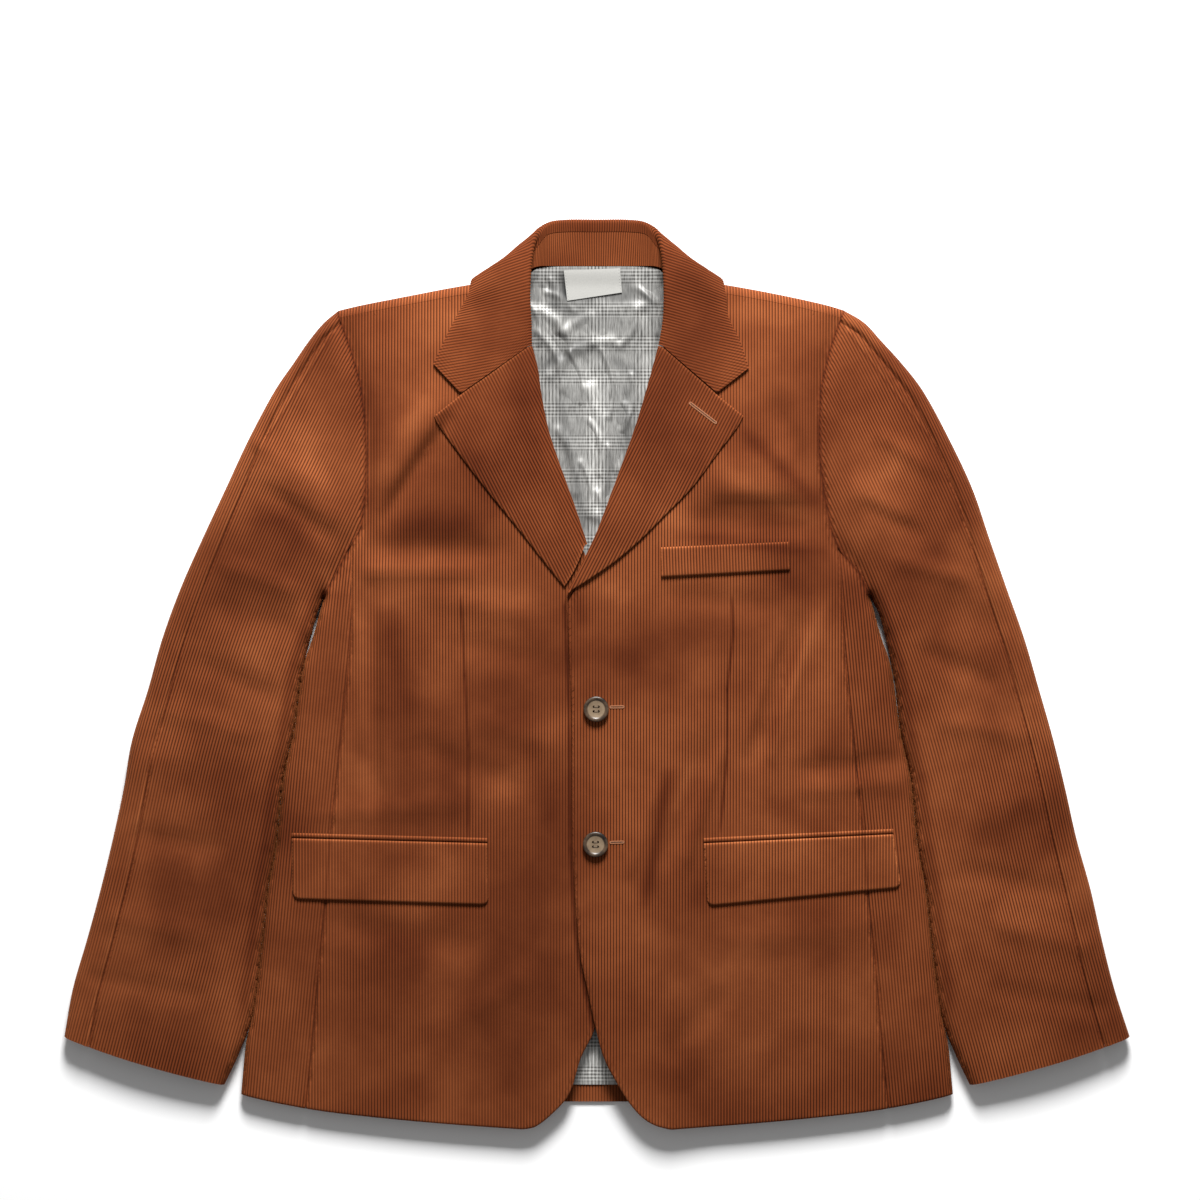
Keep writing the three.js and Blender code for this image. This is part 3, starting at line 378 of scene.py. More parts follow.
def laid_out(rows, x, y):
    """The sum at each place of what a table of lines adds round each line."""
    rise = np.zeros_like(x)
    for x1, y1, x2, y2, width, height in rows:
        dx, dy = x2 - x1, y2 - y1
        t = ((x - x1) * dx + (y - y1) * dy) / (dx * dx + dy * dy)
        s = np.clip(t, 0, 1)
        off = np.hypot(x - x1 - s * dx, y - y1 - s * dy)
        rise += height * bell(off, width) ** 2.2 * smooth(-0.3, 0.2, t) * (1 - smooth(0.8, 1.3, t))
    return rise


def folds(x, y):
    return laid_out(CREASES, x, y)


def seamed(side, p, height):
    """Draws a height down to the seam between body and sleeve."""
    away = nearest(p, side["hoop_coarse"])[0]
    low = read(ARMHOLE_HEIGHT, "top", p[:, 1])
    share = smooth(0, 30, away)
    return low + (height - low) * share - 3 * bell(away, 7)


def body_top(side, p):
    x, y = p[:, 0], p[:, 1]
    crown = 3 * (1 - (x / read(BODY, "half", y)) ** 2) * (1 - smooth(180, 260, y))
    height = read(BODY, "top", y) + crown + folds(side["sign"] * x, y) * smooth(0, 26, x + 30)
    lap = 0
    if side["name"] == "left":
        lap = OVERLAP * (1 - smooth(45, 110, x)) * (1 - smooth(120, 180, y))
    return seamed(side, p, height) + lap


def back_under(x, y):
    return NECK_RISE * smooth(284, 334, y) * (1 - smooth(97, 114, np.abs(x)))


def sewn(p, line, depth, width=2.2):
    """A seam's furrow, and how far along the line each point lies, so that a dart's furrow can fade out at
    its ends.
    """
    away, run, _ = nearest(p, line)
    return depth * bell(away, width), run / line.length


def from_edge(points, edge):
    """How far points are from a closed outline."""
    fine = outline(Line(np.vstack([edge, edge[:1]])), step=0.3)
    tree = KDTree(len(fine))
    for k, (x, y) in enumerate(fine.tolist()):
        tree.insert((x, y, 0), k)
    tree.balance()
    return np.array([tree.find((x, y, 0))[2] for x, y in points.tolist()])


def rolled(away, width):
    """0 at an edge and 1 from width inwards, in a quarter of an ellipse."""
    return np.sqrt(np.clip(1 - (1 - np.clip((away - 0.001) / width, 0, 1)) ** 2, 0, 1))


chest = body_top(SIDES["left"], np.array([[100.0, 150.0]]))
print("height beside the left lapel:", round(float(chest[0]), 1), "mm")

# %% [markdown]
# The grain says which way a panel's wales run. Its to() turns places in plan into places across
# and along the wales, and back() turns them into places in plan again.

# %% Grain
class Straight:
    """Wales in straight lines that lean from +Y towards the centre by some degrees."""

    def __init__(self, lean=0.0):
        a = math.radians(lean)
        self.turn = np.array([[math.cos(a), -math.sin(a)], [math.sin(a), math.cos(a)]])

    def to(self, xy):
        return xy @ self.turn

    def back(self, st):
        return st @ self.turn.T


class Following:
    """Wales that follow a curved line, at equal distances inside it."""

    def __init__(self, corners):
        self.line = curve(corners)
        ahead = np.gradient(self.line.points, axis=0)
        ahead /= np.linalg.norm(ahead, axis=1, keepdims=True)
        self.inward = np.stack([-ahead[:, 1], ahead[:, 0]], -1)

    def to(self, xy):
        away, run, side = nearest(xy, self.line)
        return np.stack([away * side, run], -1)

    def back(self, st):
        place = self.line.at(st[:, 1] / self.line.length)
        inward = np.stack([np.interp(st[:, 1], self.line.run, self.inward[:, k]) for k in (0, 1)], -1)
        return place + inward / np.linalg.norm(inward, axis=1, keepdims=True) * st[:, :1]


print("sleeve grain:", round(Following(SLEEVE_GRAIN).line.length), "mm long")

# %% [markdown]
# An outline is filled with points in columns that follow the wales, a quarter of a wale apart. In a
# square grid as fine as that the same wales would take many times the points.

# %% Filling outlines
def area_of(points):
    x, y = points.T
    return 0.5 * float((x * np.roll(y, -1) - np.roll(x, -1) * y).sum())


def fill(border, column, row):
    """Points inside an outline, in columns, closer together near each column's ends."""
    a, b = border, np.roll(border, -1, axis=0)
    out = []
    if np.isscalar(column):
        column = np.arange(np.ceil(border[:, 0].min() / column), border[:, 0].max() / column) * column
    for s in column[(column > border[:, 0].min()) & (column < border[:, 0].max())]:
        hit = (a[:, 0] <= s) != (b[:, 0] <= s)
        t = np.sort(a[hit, 1] + (s - a[hit, 0]) * (b[hit, 1] - a[hit, 1]) / (b[hit, 0] - a[hit, 0]))
        for t0, t1 in zip(t[::2], t[1::2]):
            first, last = t0 + END_GAP, t1 - END_GAP
            if last <= first:
                continue
            ends = [d for d in (0, 1.2, 2.8) if d < min(row, (last - first) / 2)]
            start, stop = first + ends[-1] + row * 0.3, last - ends[-1] - row * 0.3
            middle = np.arange(np.ceil(start / row), stop / row) * row
            ts = np.concatenate([[first + d for d in ends], middle, [last - d for d in ends[::-1]]])
            out.append(np.stack([np.full(len(ts), s), ts], -1))
    out = np.vstack(out) if out else np.empty((0, 2))
    fine = [a + (b - a) * t for t in np.linspace(0, 1, 9)[:-1]]
    near, own = (np.floor(q / 0.45).astype(int) @ [100003, 1] for q in (np.vstack(fine), out))
    return out[~np.isin(own, near)]


def triangles(points, n):
    """Triangles between points, of which the first n are the closed outline. One between three of
    the outline's own points can lie outside it. It does if it runs back along the outline, or if
    it has an edge within the outline's hull in common with one that does."""
    made = delaunay_2d_cdt([Vector(p) for p in points.tolist()], [], [list(range(n))], 1, 1e-4, True)
    number = np.array([o[0] if o else -1 for o in made[3]])
    faces = number[np.array(made[2])]
    faces = faces[(faces >= 0).all(1)]
    on_outline = (faces < n).all(1)
    turn = 1 if area_of(points[:n]) > 0 else -1
    pairs = np.sort(np.vstack([faces[~on_outline][:, k] for k in ([0, 1], [1, 2], [2, 0])]), axis=1)
    inside = {tuple(pair): True for pair in pairs[(pairs < n).all(1)].tolist()}
    left_over, outside = np.flatnonzero(on_outline).tolist(), []
    while left_over:
        unknown = []
        for k in left_over:
            a, b, c = faces[k].tolist()
            steps = [(q - p) * turn % n for p, q in ((a, b), (b, c), (c, a))]
            inner = [tuple(sorted(e)) for e, s in zip(((a, b), (b, c), (c, a)), steps)
                     if s not in (1, n - 1)]
            known = [inside[e] for e in inner if e in inside]
            if 1 in steps or n - 1 in steps:
                known = [n - 1 not in steps]
            if not known:
                unknown.append(k)
                continue
            inside.update({e: known[0] for e in inner})
            if not known[0]:
                outside.append(k)
        if len(unknown) == len(left_over):
            break
        left_over = unknown
    return np.delete(faces, outside, axis=0)


square = corners([(0, 0), (100, 0), (100, 100), (0, 100)])
print("points inside a square of 100 mm:", len(fill(square, PITCH / 4, 6.0)))

# %% [markdown]
# A sheet of corduroy has an outer face with its wales, where the ground between two wales is pushed
# in along the cloth's own normal, and a coarse inner face. A rim joins them and gives the cloth its
# thickness. Where the sheet turns over and meets another one it has no rim.

# %% Sheets
def normals(p, f):
    n = np.cross(p[f[:, 1]] - p[f[:, 0]], p[f[:, 2]] - p[f[:, 0]])
    total = np.stack([np.bincount(f.ravel(), np.repeat(n[:, k], 3), len(p)) for k in range(3)], -1)
    return total / np.maximum(np.linalg.norm(total, axis=1, keepdims=True), 1e-12)


def ribs(phase):
    """0 on the ground between wales and 1 along the top of a wale."""
    return np.abs(np.cos(np.pi * phase))


def beside(line, outside, edge):
    """Points in rows along the inside of a turned edge, so that its curve is smooth."""
    rows = []
    for away in (0.15, 0.5, 1.1):
        share = np.linspace(0, 1, int(line.length / 2.5))[1:-1]
        d = line.at(share + 0.002) - line.at(share - 0.002)
        d = d / np.linalg.norm(d, axis=1, keepdims=True) * outside
        row = line.at(share) + np.stack([-d[:, 1], d[:, 0]], -1) * away
        rows.append(row[from_edge(row, edge) > 0.85 * away])
    return np.vstack(rows)


def faced(shape, xy, faces, up):
    """A sheet's points, its faces and normals turned up or down, and whether they had to turn."""
    base = shape(xy)
    normal = normals(base, faces)
    flip = (normal[:, 2].mean() < 0) != (up < 0)
    return base, faces[:, ::-1] if flip else faces, -normal if flip else normal, flip


def cloth(edge, grain, shape, folded=(), row=6.0, column=PITCH / 4, thick=CLOTH, depth=WALE_DEPTH,
          up=1, inner=14.0, pale=0.0):
    """One sheet: points, faces, and each face corner's place across and along the wales.
    folded holds the lines where the sheet turns over and meets another one: (line, which side is
    outside, which way the wales are counted towards it, the turn's width)."""
    border = grain.to(edge)
    inside = fill(border, column, row)
    for line, outside, towards, width in folded:
        inside = inside[nearest(grain.back(inside), line)[0] > 1.7]
        inside = np.vstack([inside, grain.to(beside(line, outside, edge))])
    st = np.vstack([border, inside])
    xy = np.vstack([edge, grain.back(inside)])
    base, faces, normal, flip = faced(shape, xy, triangles(st, len(edge)), up)
    across, fade = st[:, 0].copy(), np.ones(len(st))
    turned = np.zeros(len(edge), bool)
    for line, outside, towards, width in folded:
        away, run, _ = nearest(xy, line)
        on = away[:len(edge)] < 0.02
        i = np.clip(np.searchsorted(line.run, run[:len(edge)], side="right") - 1, 0, len(line.run) - 2)
        d = (line.points[i + 1] - line.points[i])[on]
        d = d / np.linalg.norm(d, axis=1, keepdims=True) * outside
        normal[:len(edge)][on] = np.stack([d[:, 1], -d[:, 0], np.zeros(len(d))], -1)
        lean = 1 - np.clip(away / width, 0, 1)
        across += towards * width * (np.arcsin(lean) - lean)
        fade *= smooth(0, 3, away)
        turned |= on
    phase = across / PITCH
    in_from = from_edge(xy, edge)
    sunk = depth * (0.3 + (0.7 - ribs(phase)) * smooth(0.3, 1.9, in_from)) * fade
    # pale paints a highlight along the sheet's outline, where a turned edge catches the light.
    shade = pale * bell(in_from - 0.7, 0.8)
    outer = base - normal * sunk[:, None]
    uv = np.stack([phase, st[:, 1] / PITCH], -1)
    n = len(outer)
    if inner:
        coarse = np.vstack([border, fill(border, inner, inner)])
        inner_xy = np.vstack([edge, grain.back(coarse[len(edge):])])
        inner_base, inner_faces, inner_normal, _ = faced(shape, inner_xy, triangles(coarse, len(edge)), up)
        inner_normal[:len(edge)] = normal[:len(edge)]
        inner_uv = coarse / PITCH
    else:
        inner_faces, inner_base, inner_normal, inner_uv = faces, base, normal, uv
    shade = np.concatenate([shade, np.zeros(len(inner_base))])
    low = inner_base - inner_normal * thick
    a = np.arange(len(edge))
    b = np.roll(a, -1)
    keep = ~(turned[a] & turned[b])
    a, b = a[keep], b[keep]
    rim = np.vstack([np.stack([a, a + n, b + n], -1), np.stack([a, b + n, b], -1)])
    if (area_of(border) < 0) != flip:
        rim = rim[:, ::-1]
    all_faces = np.vstack([faces, inner_faces[:, ::-1] + n, rim])
    all_uv = np.vstack([uv, inner_uv])
    loop = np.stack([a, b], -1)
    return dict(points=np.vstack([outer, low]), faces=all_faces, uv=all_uv[all_faces], shade=shade,
                loop=np.vstack([loop, loop + n]), area=abs(area_of(border)), size=np.ptp(border, axis=0))

# %% [markdown]
# The collar folds over, so no outline in plan can hold it. Its wall is made from rows of points.

# %% Folded wall
def grid_wall(grid, thick, out, phase, along, depth=WALE_DEPTH):
    """A sheet from rows of points on its outer face, with wales across the rows."""
    rows, cols = grid.shape[:2]
    normal = np.cross(np.gradient(grid, axis=1), np.gradient(grid, axis=0)) * out
    normal /= np.linalg.norm(normal, axis=2, keepdims=True)
    outer = grid - normal * (depth * (1 - ribs(phase)))[..., None]
    inner = grid - normal * thick
    points = np.vstack([outer.reshape(-1, 3), inner.reshape(-1, 3)])
    at = np.arange(rows * cols).reshape(rows, cols)
    a, b, c, d = (q.ravel() for q in (at[:-1, :-1], at[:-1, 1:], at[1:, 1:], at[1:, :-1]))
    front = np.vstack([np.stack([a, b, c], -1), np.stack([a, c, d], -1)])
    loop = np.concatenate([at[0, :-1], at[:-1, -1], at[-1, :0:-1], at[:0:-1, 0]])
    e, f, n = loop, np.roll(loop, -1), rows * cols
    rim = np.vstack([np.stack([e, e + n, f + n], -1), np.stack([e, f + n, f], -1)])
    faces = np.vstack([front, front[:, ::-1] + n, rim])
    uv = np.tile(np.stack([phase, along], -1).reshape(-1, 2), (2, 1))
    p, q, r = (points[faces[:, k]] for k in range(3))
    if (p * np.cross(q, r)).sum() < 0:
        faces = faces[:, ::-1]
    edges = np.stack([e, f], -1)
    return dict(points=points, faces=faces, uv=uv[faces], loop=np.vstack([edges, edges + n]))

# %% [markdown]
# A piece is one or more sheets, joined where they share points, in metres and with its material.

# %% Pieces
PIECES, TOTAL = {}, 0


def new_object(name, points, edges, faces):
    mesh = bpy.data.meshes.new(name)
    mesh.from_pydata(points, edges, faces)
    obj = bpy.data.objects.new(name, mesh)
    bpy.context.scene.collection.objects.link(obj)
    return obj


def baked(obj):
    """Gives an object the mesh that its modifiers make, and returns that mesh."""
    bpy.context.view_layer.update()
    made = bpy.data.meshes.new_from_object(obj.evaluated_get(bpy.context.evaluated_depsgraph_get()))
    obj.modifiers.clear()
    obj.data = made
    return made


def piece(name, sheets, material, slot, sign=1, node=True, cut=None, rests_on=()):
    global TOTAL
    offset, points, faces, uv, loops = 0, [], [], [], []
    shade = np.concatenate([s.get("shade", np.zeros(len(s["points"]))) for s in sheets])
    for sheet in sheets:
        points.append(sheet["points"])
        f = sheet["faces"] if sign > 0 else sheet["faces"][:, ::-1]
        u = sheet["uv"] if sign > 0 else sheet["uv"][:, ::-1]
        faces.append(f + offset)
        uv.append(u)
        loops.append(sheet["loop"] + offset)
        offset += len(sheet["points"])
    points, faces, uv = np.vstack(points), np.vstack(faces), np.vstack(uv)
    _, first, same = np.unique(np.round(points, 3), axis=0, return_index=True, return_inverse=True)
    points, faces, shade = points[first], same.ravel()[faces], shade[first]
    sound = (faces[:, 0] != faces[:, 1]) & (faces[:, 1] != faces[:, 2]) & (faces[:, 2] != faces[:, 0])
    faces, uv = faces[sound], uv[sound]
    points = points * [sign * 0.001, 0.001, 0.001]
    obj = new_object(name + "_cloth", points.tolist(), [], faces.tolist())
    mesh = obj.data
    layer = mesh.uv_layers.new(name="wales")
    layer.data.foreach_set("uv", uv.reshape(-1).astype(np.float32))
    mesh.polygons.foreach_set("use_smooth", np.ones(len(faces), bool))
    ends = np.empty(len(mesh.edges) * 2, np.int32)
    mesh.edges.foreach_get("vertices", ends)
    pair = [len(points), 1]
    sharp = np.isin(np.sort(ends.reshape(-1, 2), axis=1) @ pair,
                    np.sort(same.ravel()[np.vstack(loops)], axis=1) @ pair)
    mesh.attributes.new("sharp_edge", "BOOLEAN", "EDGE").data.foreach_set("value", sharp)
    mesh.materials.append(material)
    if slot in ("corduroy", "satin"):
        # Painted highlights along turned edges, and the tables' painted shade, painted highlights and nap,
        # stored for the material.
        rows = NAP_AND_PAINTED_LIGHT if slot == "corduroy" else SHINE
        nap_and_painted_light = (shade + laid_out(rows, points[:, 0] * 1000, points[:, 1] * 1000)).astype(np.float32)
        mesh.attributes.new("nap_and_painted_light", "FLOAT", "POINT").data.foreach_set("value", nap_and_painted_light)
    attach(obj, "root")
    if node:
        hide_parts(name)
    if cut is None:
        width = sum(s["size"][0] for s in sheets)
        length = max(s["size"][1] for s in sheets)
        cut = (width, length, sum(s["area"] for s in sheets))
    PIECES[name] = (obj, cut, list(rests_on))
    TOTAL += len(faces)
    print(f"{name}: {len(faces)} triangles, cut {cut[0]:.0f} x {cut[1]:.0f} mm")
    return obj

# %% [markdown]
# The corduroy's look. Its wales are counted in the "wales" map, so their tops can be paler than
# the ground between them, which is partly the ground's own colour and partly painted shade in the
# grooves. Broad soft patches are partly nap brushed one way or the other and partly painted shade
# and painted highlights, and sheen gives the pile its light edge. Other ways would be a hair system
# or a displacement map; counted wales stay sharp at any distance and cost nothing.

# %% Corduroy material
def linear(r, g, b):
    return [((c / 255 + 0.055) / 1.055) ** 2.4 if c > 10 else c / 255 / 12.92 for c in (r, g, b)] + [1]


class Nodes:
    """Builds one material's nodes in a few words."""

    def __init__(self, name):
        self.material = bpy.data.materials.new(name)
        self.material.use_nodes = True
        self.tree = self.material.node_tree
        self.shader = self.tree.nodes["Principled BSDF"]

    def node(self, kind, inputs=None, **settings):
        n = self.tree.nodes.new(kind)
        for key, value in settings.items():
            setattr(n, key, value)
        for key, value in (inputs or {}).items():
            if isinstance(value, bpy.types.NodeSocket):
                self.tree.links.new(value, n.inputs[key])
            else:
                n.inputs[key].default_value = value
        return n

    def sum(self, operation, *values):
        return self.node("ShaderNodeMath", dict(enumerate(values)), operation=operation).outputs[0]

    def mix(self, factor, a, b, blend="MIX"):
        n = self.node("ShaderNodeMix", data_type="RGBA", blend_type=blend)
        for k, value in ((0, factor), (6, a), (7, b)):
            if isinstance(value, bpy.types.NodeSocket):
                self.tree.links.new(value, n.inputs[k])
            else:
                n.inputs[k].default_value = value
        return n.outputs[2]

    def noise(self, where, scale, detail=2.0, roughness=0.5):
        n = self.node("ShaderNodeTexNoise", {"Vector": where, "Scale": scale, "Detail": detail,
                                             "Roughness": roughness})
        return n.outputs["Fac"]

    def stretch(self, value, low, high, to_low=0.0, to_high=1.0):
        """Spreads what lies between low and high over to_low to to_high."""
        return self.node("ShaderNodeMapRange", {"Value": value, "From Min": low, "From Max": high,
                                                "To Min": to_low, "To Max": to_high}).outputs[0]

    def stored(self, name):
        return self.node("ShaderNodeAttribute", attribute_name=name).outputs["Fac"]

    def place(self):
        return self.node("ShaderNodeTexCoord").outputs["Object"]

    def to(self, socket, value):
        if isinstance(value, bpy.types.NodeSocket):
            self.tree.links.new(value, self.shader.inputs[socket])
        else:
            self.shader.inputs[socket].default_value = value


def corduroy_material(name, level=1.0):
    m = Nodes(name)
    wales = m.node("ShaderNodeUVMap", uv_map="wales").outputs[0]
    split = m.node("ShaderNodeSeparateXYZ", {0: wales})
    place = m.place()
    wave = m.sum("ABSOLUTE", m.sum("COSINE", m.sum("MULTIPLY", split.outputs[0], math.pi)))
    top = m.sum("POWER", wave, 1.1)
    tuft = m.node("ShaderNodeMapping", {"Vector": wales, "Scale": (2.0, 0.9, 1.0)}).outputs[0]
    pile = m.noise(tuft, 1.6, 3.0, 0.65)
    # The ground's dark colour is partly its own and partly painted shade in the grooves between wales.
    ground, ridge = linear(33, 12, 5), linear(132, 68, 35)
    strength = m.stretch(m.noise(place, 7.0, 3.0, 0.55), 0.38, 0.62, 0.6, 1.25)
    striped = m.sum("ADD", m.sum("MULTIPLY", m.sum("SUBTRACT", top, 0.62), strength), 0.6)
    colour = m.mix(striped, ground, ridge)
    colour = m.mix(m.sum("MULTIPLY", pile, 0.35), colour, linear(104, 51, 27))
    # level makes a darker or paler copy: painted shade or painted light over the whole piece.
    shade = m.stretch(m.noise(place, 9.0, 2.0, 0.45), 0.36, 0.64, 0.72 * level, 1.24 * level)
    speck = m.stretch(m.noise(place, 42.0, 3.0, 0.55), 0.3, 0.7, 0.9, 1.1)
    # Painted shade and painted highlights, and nap, read from the stored attribute.
    painted_light_and_nap = m.sum("MULTIPLY", m.stored("nap_and_painted_light"), 1.3)
    painted_light_and_nap = m.sum("MAXIMUM", m.sum("ADD", painted_light_and_nap, 1.0), 0.25)
    amount = m.sum("MULTIPLY", m.sum("MULTIPLY", shade, speck), painted_light_and_nap)
    tone = m.node("ShaderNodeCombineColor", {0: amount, 1: m.sum("POWER", amount, 1.3),
                                             2: m.sum("POWER", amount, 1.45)})
    m.to("Base Color", m.mix(1.0, colour, tone.outputs[0], "MULTIPLY"))
    m.to("Roughness", 0.9)
    m.to("Sheen Weight", 0.2)
    m.to("Sheen Roughness", 0.45)
    m.to("Sheen Tint", linear(204, 124, 66))
    m.to("Specular IOR Level", 0.08)
    bump = m.node("ShaderNodeBump", {"Strength": 0.35, "Distance": 0.0004,
                                     "Height": m.sum("ADD", pile, m.sum("MULTIPLY", top, 0.6))})
    m.to("Normal", bump.outputs[0])
    return m.material

# %% [markdown]
# The lining's satin has a check of thin grey lines in bands, counted in the same map, and a fine
# uneven thread. Its gleams and dark folds are partly painted, as painted reflections and painted
# shade from the table of shine.

# %% Lining material
def satin_material():
    m = Nodes("satin")
    wales = m.node("ShaderNodeUVMap", uv_map="wales").outputs[0]
    split = m.node("ShaderNodeSeparateXYZ", {0: wales})

    def lines(axis, each):
        return m.sum("COSINE", m.sum("MULTIPLY", split.outputs[axis], 2 * math.pi * PITCH / each))

    def band(axis, each):
        return m.stretch(lines(axis, each), -0.1, 0.35)

    down = m.sum("MULTIPLY", lines(0, 3.1), m.sum("MULTIPLY", band(0, 41), 0.27))
    across = m.sum("MULTIPLY", lines(1, 3.1), m.sum("MULTIPLY", band(1, 29), 0.3))
    thread = m.noise(m.node("ShaderNodeMapping", {"Vector": wales, "Scale": (3.0, 0.25, 1.0)}).outputs[0],
                     1.0, 3.0, 0.6)
    level = m.sum("ADD", m.sum("ADD", down, across), m.sum("MULTIPLY_ADD", thread, 1.5, -0.25))
    colour = m.mix(m.stretch(level, 0.05, 0.95), linear(70, 68, 65), linear(176, 175, 171))
    # Painted reflections and painted shade from the table of shine, multiplied into the check's colour.
    shine = m.sum("ADD", m.stored("nap_and_painted_light"), 0.92)
    shine = m.node("ShaderNodeCombineColor", {0: shine, 1: shine, 2: shine}).outputs[0]
    m.to("Base Color", m.mix(1.0, colour, shine, "MULTIPLY"))
    m.to("Roughness", 0.5)
    m.to("Metallic", 0.25)
    m.to("Specular IOR Level", 0.7)
    return m.material

# %% [markdown]
# The small materials: a matt woven label, horn that is dark at the rim and pale in the middle, and
# thread.

# %% Small materials
def label_material():
    m = Nodes("label")
    place = m.place()
    fine = m.noise(place, 900.0, 2.0)
    m.to("Base Color", m.mix(fine, linear(150, 149, 145), linear(168, 167, 162)))
    m.to("Roughness", 0.75)
    return m.material


def horn_material():
    m = Nodes("horn")
    place = m.place()
    level = m.stretch(m.noise(place, 110.0, 4.0, 0.6), 0.36, 0.62)
    rim = m.mix(level, linear(17, 12, 9), linear(82, 64, 48))
    middle = m.mix(m.sum("MULTIPLY", level, 0.5), linear(108, 90, 70), linear(150, 130, 106))
    m.to("Base Color", m.mix(m.stretch(m.stored("from_middle"), 7.0, 8.0), middle, rim))
    m.to("Roughness", 0.36)
    return m.material


def plain_material(name, colour, roughness):
    m = Nodes(name)
    place = m.place()
    a = [c * 0.9 for c in colour[:3]] + [1]
    m.to("Base Color", m.mix(m.noise(place, 700.0), a, colour))
    m.to("Roughness", roughness)
    return m.material


# The plain corduroy and darker or paler copies of it: painted shade on the lapels, collar fall and side
# panels, painted light on the flaps and collar stand.
CORDUROY = corduroy_material("corduroy")
TURNED_SHADED = corduroy_material("corduroy_turned_shaded", 0.78)
ASIDE_SHADED = corduroy_material("corduroy_aside_shaded", 0.9)
PRESSED_LIT = corduroy_material("corduroy_pressed_lit", 1.14)
SATIN, LABEL_CLOTH, HORN = satin_material(), label_material(), horn_material()
THREAD = plain_material("thread", linear(150, 96, 62), 0.6)
BUTTON_THREAD = plain_material("button_thread", linear(118, 98, 76), 0.6)
# Dark thread laid along a buttonhole's cut: a painted shadow.
SLIT_SHADOW = plain_material("slit_shadow", linear(38, 20, 12), 0.9)
print("materials:", len(bpy.data.materials))

# %% [markdown]
# The fronts and side panels. A side panel turns over at the body's edge and comes back beneath, so
# it is two sheets that share that edge.

# %% Body panels
def body_shape(side, edges=()):
    def shape(p):
        z = body_top(side, p)
        z -= sewn(p, side["side_seam"], 1.3)[0]
        groove, share = sewn(p, side["dart_line"], 1.2, 1.5)
        z -= groove * smooth(0, 0.06, share) * (1 - smooth(0.94, 1, share))
        for line in edges:
            z -= 1.3 * (1 - rolled(nearest(p, line)[0], 2.0))
        if side["name"] == "right":
            z -= 1.8 * bell(nearest(p, lap_line)[0], 3.4)
        return np.column_stack([p, z])
    return shape


lap_line = Line(curve(SIDES["left"]["front_edge"]).points * [-1, 1])
for side in SIDES.values():
    hoop = side["hoop"]
    full = hoop.length
    side["round_top"] = math.dist(side["armhole"][0], side["armhole"][1])
    seam_at = full - SIDE_SEAM_UP
    side["side_seam"] = curve(SIDE_SEAM + [tuple(hoop.at(seam_at / full))])
    side["upper"] = hoop.part(seam_at / full, side["round_top"] / full)
    lower = hoop.part(seam_at / full, 1)
    front_edge, roll = curve(side["front_edge"]), curve(side["inside_roll"])
    hem, body_edge, side_hem = curve(FRONT_HEM), curve(BODY_EDGE), curve(SIDE_HEM)
    edge = outline(hem, side["side_seam"], side["upper"], curve(side["shoulder"]).back(),
                   roll.back(), front_edge.back())
    sheet = cloth(edge, Straight(0), body_shape(side, (front_edge, hem)))
    piece(f"front_{side['name']}", [sheet], CORDUROY, "corduroy", side["sign"])

    edge = outline(side["side_seam"], lower, body_edge.back(), side_hem.back())
    top = body_shape(side, (side_hem,))

    def turned(p, up):
        s = top(p)
        width = EDGE_ROUND + (UNDERARM_ROUND - EDGE_ROUND) * smooth(20, 68, p[:, 1])
        q = rolled(nearest(p, body_edge)[0], width)
        s[:, 2] = s[:, 2] / 2 * (1 + up * q)
        return s
    folded = [(body_edge, 1, 1, EDGE_ROUND)]
    over = cloth(edge, Straight(5.4), lambda p: turned(p, 1), folded)
    under = cloth(edge, Straight(5.4), lambda p: turned(p, -1), folded, up=-1, row=10)
    piece(f"side_{side['name']}", [over, under], ASIDE_SHADED, "corduroy", side["sign"])

# %% [markdown]
# The back lies under everything. It turns up over the shoulders to the shoulder seams, and its hem
# is turned up inside, where a strip of it shows below the lining.

# %% Back
def back_shape(up):
    overs = {side["sign"]: curve(side["over"]) for side in SIDES.values()}

    def shape(p):
        local = np.column_stack([np.abs(p[:, 0]), p[:, 1]])
        z = np.empty(len(p))
        for side in SIDES.values():
            here = p[:, 0] * side["sign"] >= 0
            away = nearest(local[here], overs[side["sign"]])[0]
            tall = body_top(side, np.column_stack([local[here, 0], local[here, 1] - 2.0]))
            q = rolled(away, SHOULDER_ROUND)
            level = tall / 2 * (1 + up * q)
            ramp = smooth(66, 84, local[here, 0]) * smooth(250, 300, local[here, 1])
            flat = back_under(local[here, 0], local[here, 1])
            z[here] = level if up > 0 else flat + level * ramp
        return np.column_stack([p, z])
    return shape


def both_sides(*parts):
    """The right side's lines, mirrored and turned back, so that an outline can go all round."""
    return [Line(part.points * [-1, 1]).back() for part in reversed(parts)]


def back_side(side):
    shoulder_end = Line([side["armhole"][1], side["armhole"][0]])
    return [side["side_seam"], side["upper"], shoulder_end, curve(side["over"]), curve(BACK_NECK)]


